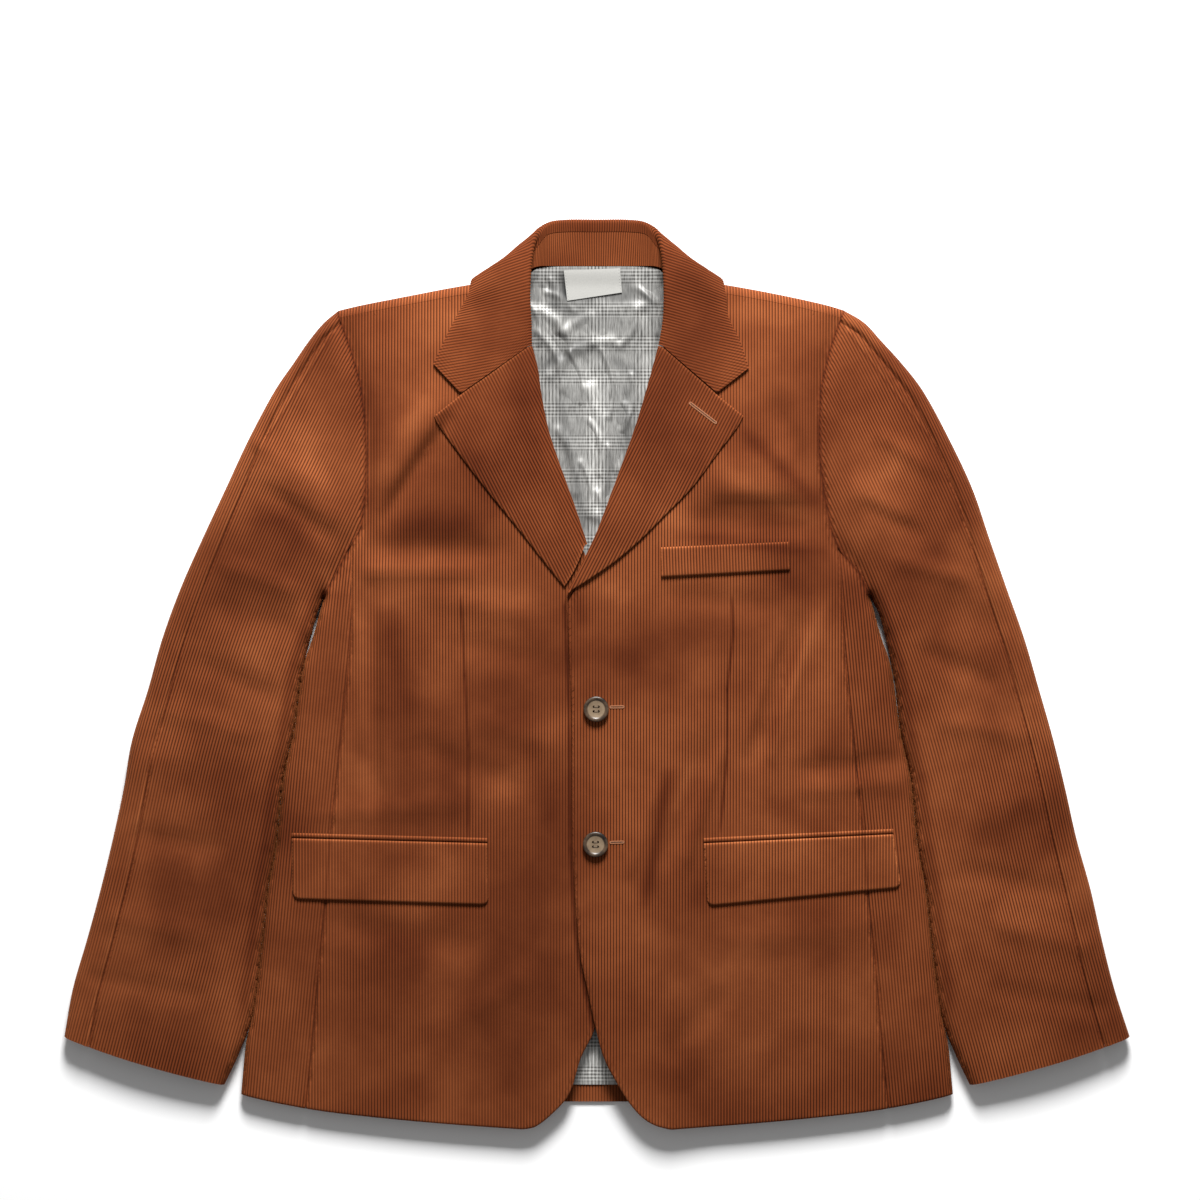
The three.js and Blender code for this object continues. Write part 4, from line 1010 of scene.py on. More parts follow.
left, right = SIDES["left"], SIDES["right"]
hem = curve(BACK_HEM)
edge = outline(hem, *back_side(left), *both_sides(*back_side(right)))
turns = [(curve(left["over"]), 1, 0, SHOULDER_ROUND),
         (Line(curve(right["over"]).points * [-1, 1]), -1, 0, SHOULDER_ROUND)]
sheets = [cloth(edge, Straight(0), back_shape(-1), turns, row=10, up=-1)]
for side, turn in zip((left, right), turns):
    s = side["sign"]
    strip = [curve(side["shoulder"]), Line([side["armhole"][1], side["armhole"][0]]),
             curve(side["over"]), Line([(66, 347), (66, 338)])]
    edge = outline(*strip) * [s, 1]
    sheets.append(cloth(edge, Straight(0), back_shape(1), [turn], row=3))
strip = corners([(-84, -372.6), (84, -372.6), (84, -354), (-84, -354)])
sheets.append(cloth(strip, Straight(0), lambda p: np.column_stack([p, np.full(len(p), CLOTH + 0.35)]),
                    row=5, thick=0.8))
piece("back", sheets, CORDUROY, "corduroy", cut=(510, 745, 510 * 745 * 0.86))

# %% [markdown]
# The sleeves. A patch between cuff, armhole and both edges places the seams, and the wales follow
# the outer edge's curve, as on cloth cut for a bent sleeve.

# %% Sleeves
def between(bottom, top, left_line, right_line, hold=1):
    """A patch in plan: u along bottom and top, v along left and right."""
    b0, b1, t0, t1 = bottom.at(0), bottom.at(1), top.at(0), top.at(1)

    def at(u, v):
        u, v = np.asarray(u, float)[:, None], np.asarray(v, float)[:, None]
        l, r = left_line(v[:, 0]), right_line.at(v[:, 0])
        return (l + (r - l) * u + (1 - v) * (bottom.at(u[:, 0]) - b0 - (b1 - b0) * u)
                + v ** hold * (top.at(u[:, 0]) - t0 - (t1 - t0) * u))
    return at


for side in SIDES.values():
    hoop, outside, inside = side["hoop"], curve(side["sleeve_edge"]), curve(SLEEVE_INNER + side["underarm"])
    cuff = curve(CUFF)
    full = hoop.length
    sleeve = between(cuff, hoop, lambda v: outside.at(0.72 * v + 0.28 * v ** 6), inside, 6)
    v = np.linspace(0, 1, 81)
    width = sum(np.linalg.norm(sleeve(np.full(81, a), v) - sleeve(np.full(81, a + 1 / 16), v), axis=1)
                for a in np.arange(16) / 16)
    outer_round = EDGE_ROUND - 1 + (side["round_top"] - EDGE_ROUND + 1) * smooth(0.8, 1, v)
    inner_round = EDGE_ROUND - 1 + (UNDERARM_ROUND - EDGE_ROUND + 1) * smooth(0.8, 1, v)
    top_seam = Line(sleeve(read(SLEEVE, "seam", v) / width, v))
    beneath = Line(sleeve((outer_round + 0.86 * (width - outer_round - inner_round)) / width, v))
    middle = Line(sleeve(np.full(81, 0.5), v))
    share = [read(SLEEVE, "seam", np.array([a]))[0] / width[k] for a, k in ((0, 0), (1, 80))]
    low = [nearest(beneath.points[[k]], line)[1][0] / line.length for k, line in ((0, cuff), (80, hoop))]

    def sleeve_shape(up, side=side, outside=outside, inside=inside, middle=middle, top_seam=top_seam):
        def shape(p):
            d1, d2 = nearest(p, outside)[0], nearest(p, inside)[0]
            along = nearest(p, middle)[1] / middle.length
            ratio = d1 / np.maximum(d1 + d2, 1e-6)
            height = (read(SLEEVE, "top", along) + 2.5 * np.sin(np.pi * ratio)
                      + folds(side["sign"] * p[:, 0], p[:, 1]))
            height = seamed(side, p, height)
            wide = EDGE_ROUND - 1 + (UNDERARM_ROUND - EDGE_ROUND) * smooth(0.8, 1, along)
            q = rolled(d1, wide) * rolled(d2, wide)
            z = height / 2 * (1 + up * q)
            if up > 0:
                away, run, at = nearest(p, top_seam)
                z -= q * 1.1 * bell(away, 1.5)
                z += q * np.where(at < 0, 0.9, 0.15) * bell(away - 3.6, 2.6)
                z += q * np.where(at < 0, 0.22, 0) * bell(away - 3.4, 2.0) * np.sin(run * 2.4)
            return np.column_stack([p, z])
        return shape

    # Painted shade along the sleeve's top seam, and a painted highlight just beside it.
    paint_light_along(top_seam.points[::8], 1.3, -0.3, side["sign"])
    paint_light_along(top_seam.points[::8], 1.3, 0.32, side["sign"], aside=1.8)
    grain = Following(SLEEVE_GRAIN)
    turn_in, turn_out = (inside, -1, 1, EDGE_ROUND - 1), (outside, 1, -1, EDGE_ROUND - 1)
    tops = outline(top_seam, hoop.part(share[1], 1), inside.back(), cuff.part(share[0], 1).back())
    lows = outline(beneath, hoop.part(low[1], 1), inside.back(), cuff.part(low[0], 1).back())
    piece(f"top_sleeve_{side['name']}",
          [cloth(tops, grain, sleeve_shape(1), [turn_in]),
           cloth(lows, grain, sleeve_shape(-1), [turn_in], up=-1, row=10)],
          CORDUROY, "corduroy", side["sign"])
    band = outline(outside, hoop.part(0, share[1]), top_seam.back(), cuff.part(0, share[0]).back())
    wide_band = outline(outside, hoop.part(0, low[1]), beneath.back(), cuff.part(0, low[0]).back())
    piece(f"under_sleeve_{side['name']}",
          [cloth(band, grain, sleeve_shape(1), [turn_out], row=2.5),
           cloth(wide_band, grain, sleeve_shape(-1), [turn_out], up=-1, row=10)],
          CORDUROY, "corduroy", side["sign"])

# %% [markdown]
# The lapels. Each is the front's own facing rolled over at the roll line. The outline runs on past
# the roll by what goes round it, and the shape bends that strip round and under.

# %% Lapels
for side in SIDES.values():
    roll = curve(side["roll"])
    v = np.linspace(0, 1, 121)
    f = roll.at(v)
    ahead = np.gradient(f, axis=0)
    ahead /= np.linalg.norm(ahead, axis=1, keepdims=True)
    e = np.stack([-ahead[:, 1], ahead[:, 0]], -1)
    radius = 2.3 + 1.0 * smooth(0, 0.8, v)
    axis = Line(f - e * radius[:, None])
    level = body_top(side, f - e * 6)
    at_axis = body_top(side, axis.points) + LAPEL_REST + FACING
    low = level - FACING - 0.15
    reach = np.pi * radius + 1.6
    lapel_edge = curve(side["lapel_edge"])
    gorge = [Line([axis.points[-1], side["notch"]]), Line([side["notch"], side["lapel_edge"][-1]])]

    def lapel_shape(p, side=side, axis=axis, v=v, e=e, radius=radius, at_axis=at_axis, low=low,
                    edges=(lapel_edge, gorge[1])):
        away, run, at = nearest(p, axis)
        s = run / axis.length
        r, lie, base = (np.interp(s, axis.run / axis.length, q) for q in (radius, at_axis, low))
        ex, ey = (np.interp(s, axis.run / axis.length, e[:, k]) for k in (0, 1))
        foot = axis.at(s)
        z = body_top(side, p) + LAPEL_REST + FACING
        fall = bell(away, 24)
        z += (base + 2 * r - lie) * fall + 1.2 * smooth(0, 9, away) * fall
        for line in edges:
            z -= 0.9 * (1 - rolled(nearest(p, line)[0], 1.8))
        x, y = p[:, 0].copy(), p[:, 1].copy()
        over = at > 0
        angle = np.clip(away / r, 0, np.pi)
        rest = np.maximum(away - np.pi * r, 0)
        shift = np.where(over, r * np.sin(angle) - rest, 0)
        x = np.where(over, foot[:, 0] + ex * shift, x)
        y = np.where(over, foot[:, 1] + ey * shift, y)
        z = np.where(over, base + r + r * np.cos(angle), z)
        return np.column_stack([x, y, z])

    beyond = Line((axis.points + e * reach[:, None])[::-1])
    edge = outline(curve([tuple(axis.points[0])] + side["lapel_foot"] + [side["lapel_edge"][0]]),
                   lapel_edge, gorge[1].back(), gorge[0].back(),
                   Line([axis.points[-1], beyond.points[0]]), beyond,
                   Line([beyond.points[-1], axis.points[0]]), step=1.5)
    # pale: a painted highlight along the lapel's edges.
    sheet = cloth(edge, Straight(LAPEL_LEAN), lapel_shape, row=2.5, thick=FACING,
                  inner=None, pale=0.35)
    side["lapel_shape"] = lapel_shape
    piece(f"lapel_{side['name']}", [sheet], TURNED_SHADED, "corduroy", side["sign"],
          rests_on=[PIECES[f"front_{side['name']}"][0]])

# %% [markdown]
# The collar is one folded band. Its wales run straight out from the neck across the fold, so it is
# built as rows of points, one row to each quarter of a wale.

# %% Collar
def station(row, side):
    s = {key: COLLAR_AT[key][row] for key in COLLAR_AT if key != "key"}
    if side["name"] == "right":
        swaps = {312: side["collar_edge"][0], 290.5: side["collar_edge"][1], 266: side["corner"]}
        if s["ey"] in swaps:
            s["ex"], s["ey"] = swaps[s["ey"]]
        if s["fy"] == 286:
            s["fx"] = side["roll"][-1][0]
    g = side["sign"]
    return (np.array([[g * s["fx"], s["fy"], s["fz"]], [g * s["ex"], s["ey"], s["ez"]],
                      [g * s["nx"], s["ny"], s["nz"]]]), [s["radius"], s["bow"], s["share"]])


stations = ([station(k, right) for k in range(8, 0, -1)] + [station(k, left) for k in range(9)])
three = np.array([s[0] for s in stations])
numbers = np.array([s[1] for s in stations])


def through(points, w):
    """A smooth line through equally spaced stations."""
    last = len(points) - 1
    p = np.concatenate([[2 * points[0] - points[1]], points, [2 * points[-1] - points[-2]]])
    x = min(max(w, 0), 1) * last
    i = min(int(x), last - 1)
    t = x - i
    a, b, c, d = p[i:i + 4]
    return bend_between(b, c, (c - a) / 2, (d - b) / 2, t)


def top_of(side, p):
    return body_top(side, np.column_stack([np.abs(p[:, 0]), p[:, 1]]))


def section(w):
    fold, edge, neck = through(three, w)
    side = right if w < 0.5 else left
    ahead = through(three, w + 0.004)[0] - through(three, w - 0.004)[0]
    ahead /= np.linalg.norm(ahead)
    inward = fold - (edge + neck) / 2
    inward /= np.linalg.norm(inward)
    across = np.cross(ahead, inward)
    across /= np.linalg.norm(across)
    x = w * (len(stations) - 1)
    i = min(int(x), len(stations) - 2)
    radius, bow, share = numbers[i] + (numbers[i + 1] - numbers[i]) * (x - i)
    centre = fold - inward * radius
    out = abs(2 * w - 1)
    endness, on_front, on_back = smooth(0.76, 1, out), smooth(0.56, 0.76, out), 1 - smooth(0.2, 0.42, out)
    outer_from, inner_from = centre - across * radius, centre + across * radius
    bend = 0.64
    g = side["sign"]
    notch = np.array([g * side["notch"][0], side["notch"][1], 0])
    corner = np.array([g * side["corner"][0], side["corner"][1], 0])
    fold_end = through(three, 0 if w < 0.5 else 1)[0] * [1, 1, 0]
    sag = (notch - (fold_end + (corner - fold_end) * bend)) * endness
    t = np.linspace(1, 0, 33)[:-1][:, None]
    p = outer_from + (edge - outer_from) * t - across * bow * np.sin(np.pi * t)
    moved = np.where(t < bend, t / bend, (1 - t) / (1 - bend))
    p = p + sag * moved
    lift = outer_from[2] - top_of(side, outer_from[None])[0] - LAPEL_REST - COLLAR
    lying = top_of(side, p) + LAPEL_REST + COLLAR + lift * (1 - t[:, 0]) ** 2
    floor = edge[2] + (outer_from[2] - edge[2]) * (1 - t[:, 0]) ** 2.2
    z = p[:, 2] + (floor - p[:, 2]) * on_back
    p[:, 2] = np.maximum(z + (lying - z) * on_front, 0)
    p[:, 2] -= 0.9 * (1 - rolled((1 - t[:, 0]) * np.linalg.norm(edge - outer_from), 2)) * (1 - on_back)
    angle = np.linspace(0, np.pi, 9)[:, None]
    arc = centre - across * radius * np.cos(angle) + inward * radius * np.sin(angle)
    length = np.linalg.norm(inner_from - neck)
    inner = inner_from + (neck - inner_from) * np.linspace(0, share - 0.25 / length, 3)[1:, None]
    stand = inner_from + (neck - inner_from) * np.linspace(share + 0.25 / length, 1, 7)[:, None]
    return np.vstack([p, arc, inner]), stand, np.append(moved[:, 0] * (sag @ ahead), np.zeros(11))


ws = np.linspace(0.0012, 1 - 0.0012, 1500)
folds_at = np.array([through(three, w)[:2].mean(0) for w in ws])
run = np.concatenate([[0], np.cumsum(np.linalg.norm(np.diff(folds_at, axis=0), axis=1))])
count = int(run[-1] / (PITCH / 4))
picked = np.interp(np.arange(count + 1) * PITCH / 4, run, ws)
made = [section(w) for w in picked]
fall, stand = np.array([m[0] for m in made]), np.array([m[1] for m in made][3:-3])
phase = np.arange(len(fall))[:, None] / 4 + np.array([m[2] for m in made]) / PITCH
steps = np.linalg.norm(np.diff(fall[len(fall) // 2], axis=0), axis=1)
along = np.cumsum(np.concatenate([[0], steps])) / PITCH
band = np.linalg.norm(np.diff(fall, axis=1), axis=2).sum(1).mean()
piece("collar_fall", [grid_wall(fall, COLLAR, 1, phase, np.broadcast_to(along, phase.shape))],
      TURNED_SHADED, "corduroy", cut=(run[-1], band, run[-1] * band),
      rests_on=[PIECES["lapel_left"][0], PIECES["lapel_right"][0]])
phase = np.arange(len(stand))[:, None] / 4 + np.zeros(stand.shape[1])
band = np.linalg.norm(np.diff(stand, axis=1), axis=2).sum(1).mean()
along = np.broadcast_to(np.arange(7) * 2.4, phase.shape)
piece("collar_stand", [grid_wall(stand, COLLAR, 1, phase, along)],
      PRESSED_LIT, "corduroy", cut=(run[-1] * 0.98, band, run[-1] * 0.98 * band),
      rests_on=[PIECES["back"][0]])

# %% [markdown]
# Pocket flaps, the jetted strips that they hang from, and the chest welt lie on the fronts. Their
# edges are turned, so they round off to nothing.

# %% Pockets
def lying(side, edge, thick, rounding=1.6):
    line = Line(np.vstack([edge, edge[:1]]))

    def shape(p):
        z = body_top(side, p) + REST + thick - 0.8 * thick * (1 - rolled(nearest(p, line)[0], rounding))
        return np.column_stack([p, z])
    return shape


def soft_corners(points, cut):
    """A closed shape with its corners cut into small arcs."""
    points = np.asarray(points, float)
    out = []
    for k, p in enumerate(points):
        a, b = points[k - 1] - p, points[(k + 1) % len(points)] - p
        c = cut[k]
        a, b = p + a / np.linalg.norm(a) * c, p + b / np.linalg.norm(b) * c
        for t in np.linspace(0, 1, 6):
            out.append((1 - t) ** 2 * a + 2 * t * (1 - t) * p + t * t * b)
    return np.array(out)


def jet(flap):
    """The strip just above a flap's top edge."""
    low = np.array([flap[3], flap[2]]) + [0, JET_GAP]
    return np.vstack([low, low[::-1] + [0, JET_DEPTH]])


def patch(name, side, points, cut, thick, material, lean=0.0, pale=0.35):
    """A small piece with turned edges that lies on a front, with a painted highlight along its edges."""
    edge = corners(soft_corners(points, cut), 1.5)
    sheet = cloth(edge, Straight(lean), lying(side, edge, thick), row=3, thick=thick * 0.9, inner=8,
                  pale=pale)
    piece(name, [sheet], material, "corduroy", side["sign"], rests_on=[PIECES[f"front_{side['name']}"][0]])


for side in SIDES.values():
    patch(f"flap_{side['name']}", side, side["flap"], (7, 7, 1.2, 1.2), FLAP, PRESSED_LIT)
    patch(f"jet_{side['name']}", side, jet(side["flap"]), (0.8,) * 4, FLAP - 0.6, CORDUROY)
patch("chest_welt", left, WELT, (1,) * 4, FLAP, CORDUROY, lean=2, pale=0.3)

# %% [markdown]
# The lining over the back shows in the neck. Satin creases more sharply than corduroy, so it has
# its own table of creases. Its pattern is a plain check of thin lines made for this jacket.

# %% Lining and label
SATIN_CREASES = [
    (-50, 318, -22, 286, 7, 1.6), (-46, 300, -10, 272, 6, -1.3), (-40, 345, -34, 300, 5, 1.5),
    (-30, 322, 30, 312, 6, -1.4), (-28, 300, 40, 322, 7, 1.5), (30, 345, 52, 300, 6, 1.3),
    (-40, 262, 12, 292, 7, 1.4), (-34, 238, 18, 262, 8, -1.3), (-8, 250, -2, 140, 9, 2.0),
    (14, 246, 8, 150, 8, -1.7), (24, 236, 20, 180, 6, 1.2), (-20, 226, -18, 170, 8, -1.6),
    (-34, 214, -20, 160, 6, 1.2), (2, 140, 4, 84, 6, 1.2), (44, 280, 26, 240, 6, -1.2),
    (-20, -330, 10, -350, 8, 1.0), (-52, 300, -30, 250, 5, 1.4), (-12, 330, -4, 290, 5, 1.3),
    (8, 322, 22, 282, 4, -1.4), (34, 318, 20, 288, 5, 1.5), (-24, 282, -14, 238, 4, 1.5),
    (4, 284, 10, 226, 4, 1.6), (30, 262, 22, 214, 4, 1.3), (-6, 222, 2, 176, 4, 1.5),
    (10, 200, 12, 150, 3.5, 1.2), (-14, 186, -8, 140, 4, 1.2), (-44, 334, -20, 318, 4, 1.2),
    (20, 340, 50, 326, 4, 1.4), (-58, 322, -50, 290, 4, 1.2), (0, 160, 2, 110, 4, 1.3)]


def lifted(x, y):
    """The lining comes up to the collar stand's lower edge."""
    return smooth(338, 353, y) * (1.5 + 3 * smooth(46, 60, np.abs(x)))


def lining_shape(p):
    x, y = p[:, 0], p[:, 1]
    flat = back_under(np.maximum(np.abs(x) - 18, 0), y + 10) + LINING_HEIGHT
    z = flat
    for x1, y1, x2, y2, width, height in SATIN_CREASES:
        dx, dy = x2 - x1, y2 - y1
        t = ((x - x1) * dx + (y - y1) * dy) / (dx * dx + dy * dy)
        s = np.clip(t, 0, 1)
        bend = 0.12 * np.hypot(dx, dy) * np.sin(np.pi * s)
        off = np.abs(((x - x1) * dy - (y - y1) * dx) / np.hypot(dx, dy) + bend)
        off = np.hypot(off, np.maximum(np.abs(t - 0.5) - 0.5, 0) * np.hypot(dx, dy))
        z = z + (1.2 * max(height, 0) + 0.25 * min(height, 0)) * bell(off, width) ** 2.2
    keep = smooth(0, 12, 355 - y)
    under_label = smooth(20, 40, np.hypot(x / 1.2, (y - 342) / 1.0))
    return np.column_stack([p, flat + (z - flat) * keep * under_label + lifted(x, y)])


def label_top(p):
    return LABEL_HEIGHT + 0.25 * np.sin(p[:, 0] / 9) + lifted(*p.T)


lining_side = curve(LINING_SIDE)
edge = outline(Line([(-248, -357), (0, -357.6), (248, -357)]), lining_side, curve(LINING_TOP),
               Line(lining_side.points * [-1, 1]).back(), step=4)
columns = np.concatenate([np.arange(-248, -66, 8), np.arange(-66, 66, 1.6), np.arange(66, 249, 8)])
sheet = cloth(edge, Straight(0), lining_shape, row=1.8, column=columns, thick=LINING * 0.8, depth=0,
              inner=14)
piece("lining_back", [sheet], SATIN, "satin", rests_on=[PIECES["back"][0]])
edge = corners(LABEL_AT)
sheet = cloth(edge, Straight(0), lambda p: np.column_stack([p, label_top(p)]),
              row=3, column=3, thick=LABEL * 0.8, depth=0, inner=14)
piece("label", [sheet], LABEL_CLOTH, "label", rests_on=[PIECES["lining_back"][0]])

# %% [markdown]
# The buttons are turned, so each is one profile spun round its axis with four holes cut through.

# %% Buttons
def button(name, x, y):
    profile = [(0, 0), (9.6, 0), (10.5, 0.35), (11, 1.2), (11, 2.9), (10.75, 3.55), (10.1, 3.95),
               (9.4, 4), (8.6, 3.95), (8.1, 3.7), (7.7, 3.3), (7.2, 3.1), (0, 3.1)]
    around = 72
    turns = [2 * math.pi * k / around for k in range(around)]
    points = [(r * math.cos(a), r * math.sin(a), z) for r, z in profile[1:-1] for a in turns]
    points = [(0, 0, 0)] + points + [(0, 0, 3.1)]
    faces = [(0, 1 + (k + 1) % around, 1 + k) for k in range(around)]
    for i in range(len(profile) - 3):
        for k in range(around):
            a, b = 1 + i * around + k, 1 + i * around + (k + 1) % around
            faces.append((a, b, b + around, a + around))
    last = 1 + (len(profile) - 3) * around
    faces += [(last + k, last + (k + 1) % around, len(points) - 1) for k in range(around)]
    obj = new_object(name + "_turned", points, [], faces)
    holes = []
    for sx, sy in ((-2, -2), (2, -2), (2, 2), (-2, 2)):
        bpy.ops.mesh.primitive_cylinder_add(vertices=24, radius=1.1, depth=12, location=(sx, sy, 2))
        hole = bpy.context.object
        cut = obj.modifiers.new("hole", "BOOLEAN")
        cut.object, cut.operation, cut.solver = hole, "DIFFERENCE", "EXACT"
        holes.append(hole)
    made = baked(obj)
    for hole in holes:
        bpy.data.objects.remove(hole)
    around_it = np.array([(0, 0), (11, 0), (-11, 0), (0, 11), (0, -11), (8, 8), (-8, 8), (8, -8), (-8, -8)])
    z = body_top(left, around_it + [x, y]).max() + REST
    co = np.empty(len(made.vertices) * 3)
    made.vertices.foreach_get("co", co)
    co = co.reshape(-1, 3)
    radius = np.hypot(co[:, 0], co[:, 1]).astype(np.float32)
    made.attributes.new("from_middle", "FLOAT", "POINT").data.foreach_set("value", radius)
    co = (co + [x, y, z]) * 0.001
    made.vertices.foreach_set("co", co.ravel())
    made.polygons.foreach_set("use_smooth", np.ones(len(made.polygons), bool))
    made.set_sharp_from_angle(angle=math.radians(40))
    made.materials.clear()
    made.materials.append(HORN)
    made.update()
    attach(obj, "root")
    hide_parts(name)
    return obj, z


button_tops = {}
for name, (x, y) in BUTTONS_AT.items():
    button_tops[name] = button(name, x, y)
    print(name, "at height", round(float(button_tops[name][1]), 1), "mm")

# %% [markdown]
# Stitches follow paths, so one Geometry Nodes tree sews them all: it walks along a line, lays a
# small rounded stitch at each step, turned as asked and a little uneven, and joins them. The tree
# could instead sweep a curve, but separate stitches catch the light as thread does.

# %% Stitching tree
def stitch_tree():
    tree = bpy.data.node_groups.new("stitches", "GeometryNodeTree")
    for name, kind, value in (
            ("Geometry", "Geometry", None), ("Spacing", "Float", 0.001), ("Length", "Float", 0.001),
            ("Width", "Float", 0.0004), ("Turn", "Float", 0.0), ("Unevenness", "Float", 0.08),
            ("Seed", "Int", 7), ("Thread", "Material", None)):
        socket = tree.interface.new_socket(name, in_out="INPUT", socket_type="NodeSocket" + kind)
        if value is not None:
            socket.default_value = value
    tree.interface.new_socket("Geometry", in_out="OUTPUT", socket_type="NodeSocketGeometry")
    new, link = tree.nodes.new, tree.links.new
    given, out = new("NodeGroupInput"), new("NodeGroupOutput")
    path = new("GeometryNodeMeshToCurve")
    stops = new("GeometryNodeCurveToPoints")
    stops.mode = "LENGTH"
    ball = new("GeometryNodeMeshUVSphere")
    ball.inputs["Segments"].default_value, ball.inputs["Rings"].default_value = 8, 6
    ball.inputs["Radius"].default_value = 0.5
    size = new("ShaderNodeCombineXYZ")
    shaped = new("GeometryNodeTransform")
    aim = new("FunctionNodeAlignEulerToVector")
    aim.axis, aim.pivot_axis = "X", "Z"
    lay = new("GeometryNodeInstanceOnPoints")
    turn = new("GeometryNodeRotateInstances")
    angle = new("ShaderNodeCombineXYZ")
    wobble, total, minus = new("FunctionNodeRandomValue"), new("ShaderNodeMath"), new("ShaderNodeMath")
    minus.operation = "MULTIPLY"
    minus.inputs[1].default_value = -1.0
    real, paint = new("GeometryNodeRealizeInstances"), new("GeometryNodeSetMaterial")
    smooth_it = new("GeometryNodeSetShadeSmooth")
    link(given.outputs["Geometry"], path.inputs["Mesh"])
    link(path.outputs["Curve"], stops.inputs["Curve"])
    link(given.outputs["Spacing"], stops.inputs["Length"])
    link(given.outputs["Length"], size.inputs[0])
    link(given.outputs["Width"], size.inputs[1])
    link(given.outputs["Width"], size.inputs[2])
    link(ball.outputs["Mesh"], shaped.inputs["Geometry"])
    link(size.outputs[0], shaped.inputs["Scale"])
    link(stops.outputs["Tangent"], aim.inputs["Vector"])
    link(stops.outputs["Points"], lay.inputs["Points"])
    link(shaped.outputs["Geometry"], lay.inputs["Instance"])
    link(aim.outputs["Rotation"], lay.inputs["Rotation"])
    link(given.outputs["Unevenness"], minus.inputs[0])
    link(minus.outputs[0], wobble.inputs[2])
    link(given.outputs["Unevenness"], wobble.inputs[3])
    link(given.outputs["Seed"], wobble.inputs["Seed"])
    link(given.outputs["Turn"], total.inputs[0])
    link(wobble.outputs[1], total.inputs[1])
    link(total.outputs[0], angle.inputs[2])
    link(lay.outputs["Instances"], turn.inputs["Instances"])
    link(angle.outputs[0], turn.inputs["Rotation"])
    link(turn.outputs["Instances"], real.inputs["Geometry"])
    link(real.outputs["Geometry"], smooth_it.inputs["Geometry"])
    link(smooth_it.outputs["Geometry"], paint.inputs["Geometry"])
    link(given.outputs["Thread"], paint.inputs["Material"])
    link(paint.outputs["Geometry"], out.inputs["Geometry"])
    return tree


STITCHES = stitch_tree()


def sew(name, paths, spacing, length, width, thread, turn=0.0, uneven=0.08, seed=7):
    """Stitches along paths of points in millimetres, as one piece."""
    points, edges = [], []
    for path in paths:
        start = len(points)
        points += [tuple(p * 0.001) for p in np.asarray(path, float)]
        edges += [(start + k, start + k + 1) for k in range(len(path) - 1)]
    obj = new_object(name, points, edges, [])
    modifier = obj.modifiers.new("stitches", "NODES")
    modifier.node_group = STITCHES
    values = {"Spacing": spacing * 0.001, "Length": length * 0.001, "Width": width * 0.001,
              "Turn": turn, "Unevenness": uneven, "Seed": seed, "Thread": thread}
    for item in STITCHES.interface.items_tree:
        if item.item_type == "SOCKET" and item.in_out == "INPUT" and item.name in values:
            modifier[item.identifier] = values[item.name]
    made = baked(obj)
    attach(obj, "root")
    print(f"{name}: {len(made.polygons)} faces")
    return obj

# %% [markdown]
# What is sewn: buttonholes edged with close stitches, with a row of dark stitches along each cut as
# a painted shadow, thread through the buttons, and the label's long edges tacked down.

# %% Sewing
def loop(a, b, wide, lift, top, n=40):
    """A long narrow loop round the line from a to b, on top of a piece of the left side."""
    a, b = np.array(a, float), np.array(b, float)
    d = (b - a) / np.linalg.norm(b - a)
    e = np.array([-d[1], d[0]])
    turn = np.linspace(0, np.pi, 9)
    flat = ([b + wide * (e * math.cos(t) + d * math.sin(t)) for t in turn]
            + [a - wide * (e * math.cos(t) + d * math.sin(t)) for t in turn])
    flat = np.array(flat + [flat[0]])
    flat = Line(flat).at(np.linspace(0, 1, n))
    return np.column_stack([flat, top(flat) + lift])


def front_top(p):
    return body_top(left, p)


def lapel_top(p):
    return left["lapel_shape"](p)[:, 2]


holes = {"buttonhole_upper": ((12, -27.2), (22.5, -27.0), front_top),
         "buttonhole_lower": ((12, -144.7), (22.5, -144.4), front_top),
         "buttonhole_lapel": ((80.7, 236), (102.7, 219), lapel_top)}
sewing = {"front_left": [], "lapel_left": [], "label": []}
for name, (a, b, top) in holes.items():
    ring = sew(name, [loop(a, b, 0.85, 0.1, top)], 0.5, 1.5, 0.6, THREAD, math.pi / 2)
    middle = np.linspace(a, b, 12)
    # A row of dark stitches along the cut: painted shadow in the buttonhole.
    slit_shadow = sew(name + "_slit", [np.column_stack([middle, top(middle) + 0.05])], 0.6, 1.4, 0.5, SLIT_SHADOW)
    sewing["lapel_left" if "lapel" in name else "front_left"] += [ring, slit_shadow]
thread_paths = []
t = np.linspace(-1, 1, 17)
for name, (x, y) in BUTTONS_AT.items():
    for row in (-2, 2):
        for aside in (-0.35, 0, 0.35):
            dip = 1.8 * np.maximum(np.abs(t) - 0.72, 0) / 0.28
            thread_paths.append(np.column_stack([x + 1.75 * t, np.full(17, y + row + aside),
                                                 button_tops[name][1] + 3.4 - dip]))
thread = sew("button_thread", thread_paths, 0.4, 0.9, 0.35, BUTTON_THREAD)
tacks = []
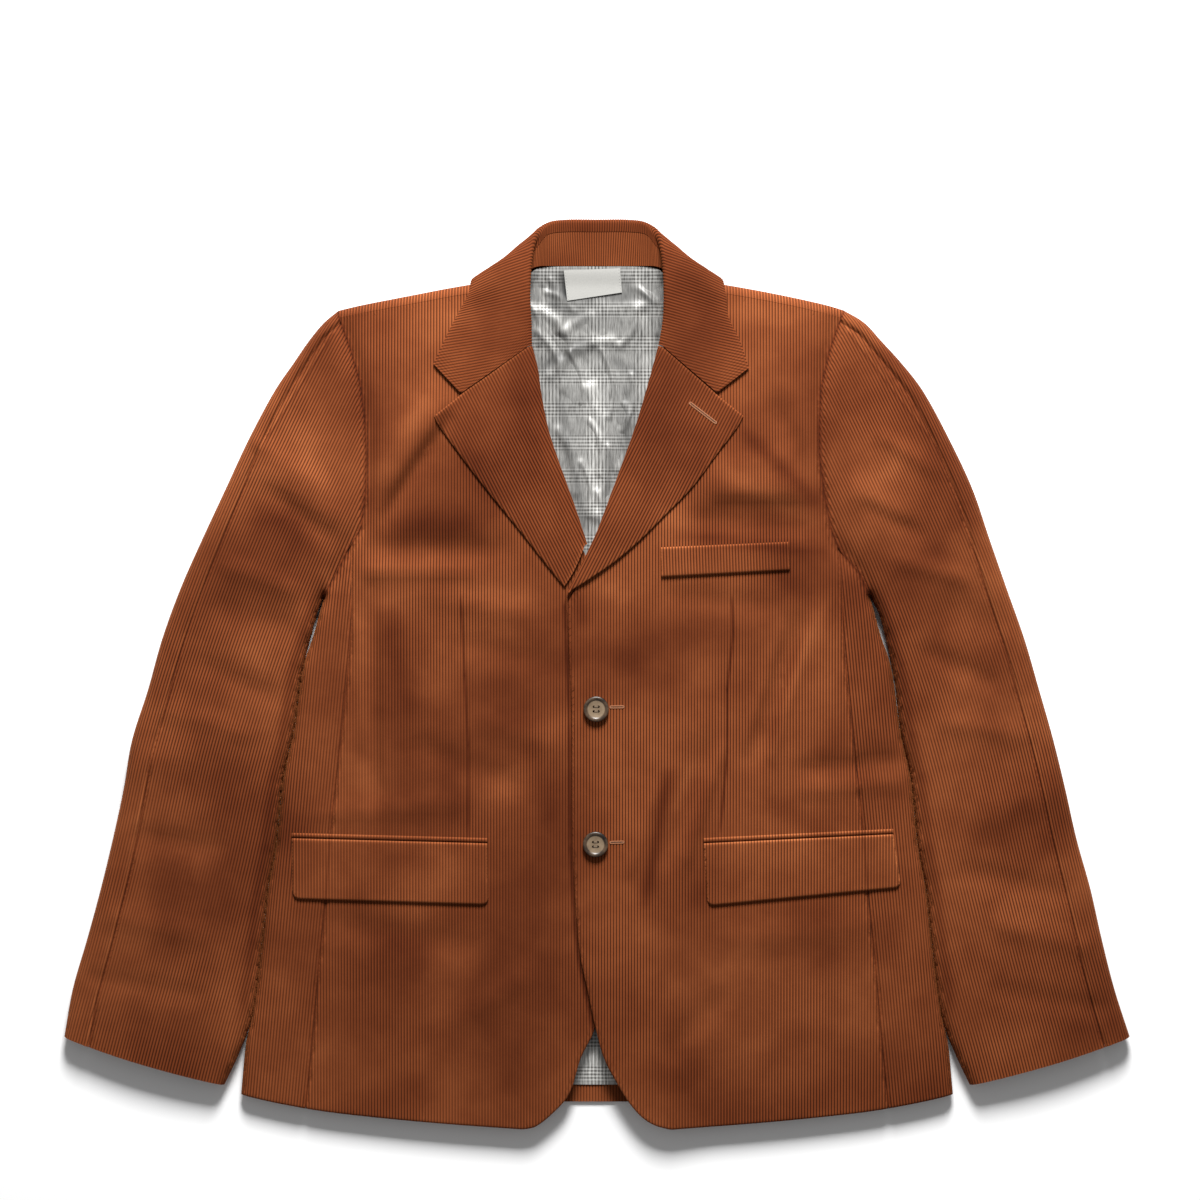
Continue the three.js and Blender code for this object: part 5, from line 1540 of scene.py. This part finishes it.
for a, b in ((LABEL_AT[0], LABEL_AT[3]), (LABEL_AT[1], LABEL_AT[2])):
    t = np.linspace(0.06, 0.94, 14)[:, None]
    inset = np.array([1.2 if a[0] < 0 else -1.2, 0])
    flat = np.array(a) * (1 - t) + np.array(b) * t + inset
    tacks.append(np.column_stack([flat, label_top(flat) + 0.02]))
sewing["label"].append(sew("label_tacks", tacks, 2.4, 1.7, 0.4, LABEL_CLOTH, uneven=0.03))

# %% [markdown]
# Each piece keeps the cut of its cloth: width, length and flat area of what shows. The triangles in all the
# cloth are printed.

# %% Cuts
for name, (obj, (width, length, area), rests) in PIECES.items():
    length = max(length, SHORTEST_SIDE)
print("triangles in cloth:", TOTAL)

# %% [markdown]
# A pale floor, soft light from above the collar and all round, and a camera straight above.

# %% Floor, light and camera
def stage_material():
    m = Nodes("floor")
    m.to("Base Color", (0.93, 0.93, 0.93, 1))
    m.to("Roughness", 0.95)
    m.to("Specular IOR Level", 0.1)
    return m.material


bpy.ops.mesh.primitive_plane_add(size=8, location=(0, 0, -0.0003))
floor = bpy.context.object
floor.name = "floor"
floor.data.materials.append(stage_material())
scene = bpy.context.scene
world = bpy.data.worlds.new("studio")
scene.world = world
world.use_nodes = True
world.node_tree.nodes["Background"].inputs[0].default_value = (1, 1, 1, 1)
world.node_tree.nodes["Background"].inputs[1].default_value = 0.25


def lamp(name, place, aim, size, power):
    light = bpy.data.lights.new(name, "AREA")
    light.shape, light.size, light.energy = "SQUARE", size, power
    obj = bpy.data.objects.new(name, light)
    scene.collection.objects.link(obj)
    obj.location = place
    obj.rotation_euler = (Vector(aim) - Vector(place)).to_track_quat("-Z", "Y").to_euler()


lamp("key", (0.12, 2.3, 1.55), (0, 0, 0), 0.9, 182)
camera = bpy.data.cameras.new("camera")
camera.lens, camera.sensor_width = 102.9, 36
eye = bpy.data.objects.new("camera", camera)
scene.collection.objects.link(eye)
eye.location = (0.0026, 0.0657, 3.0)
scene.camera = eye
scene.view_settings.view_transform = "Standard"
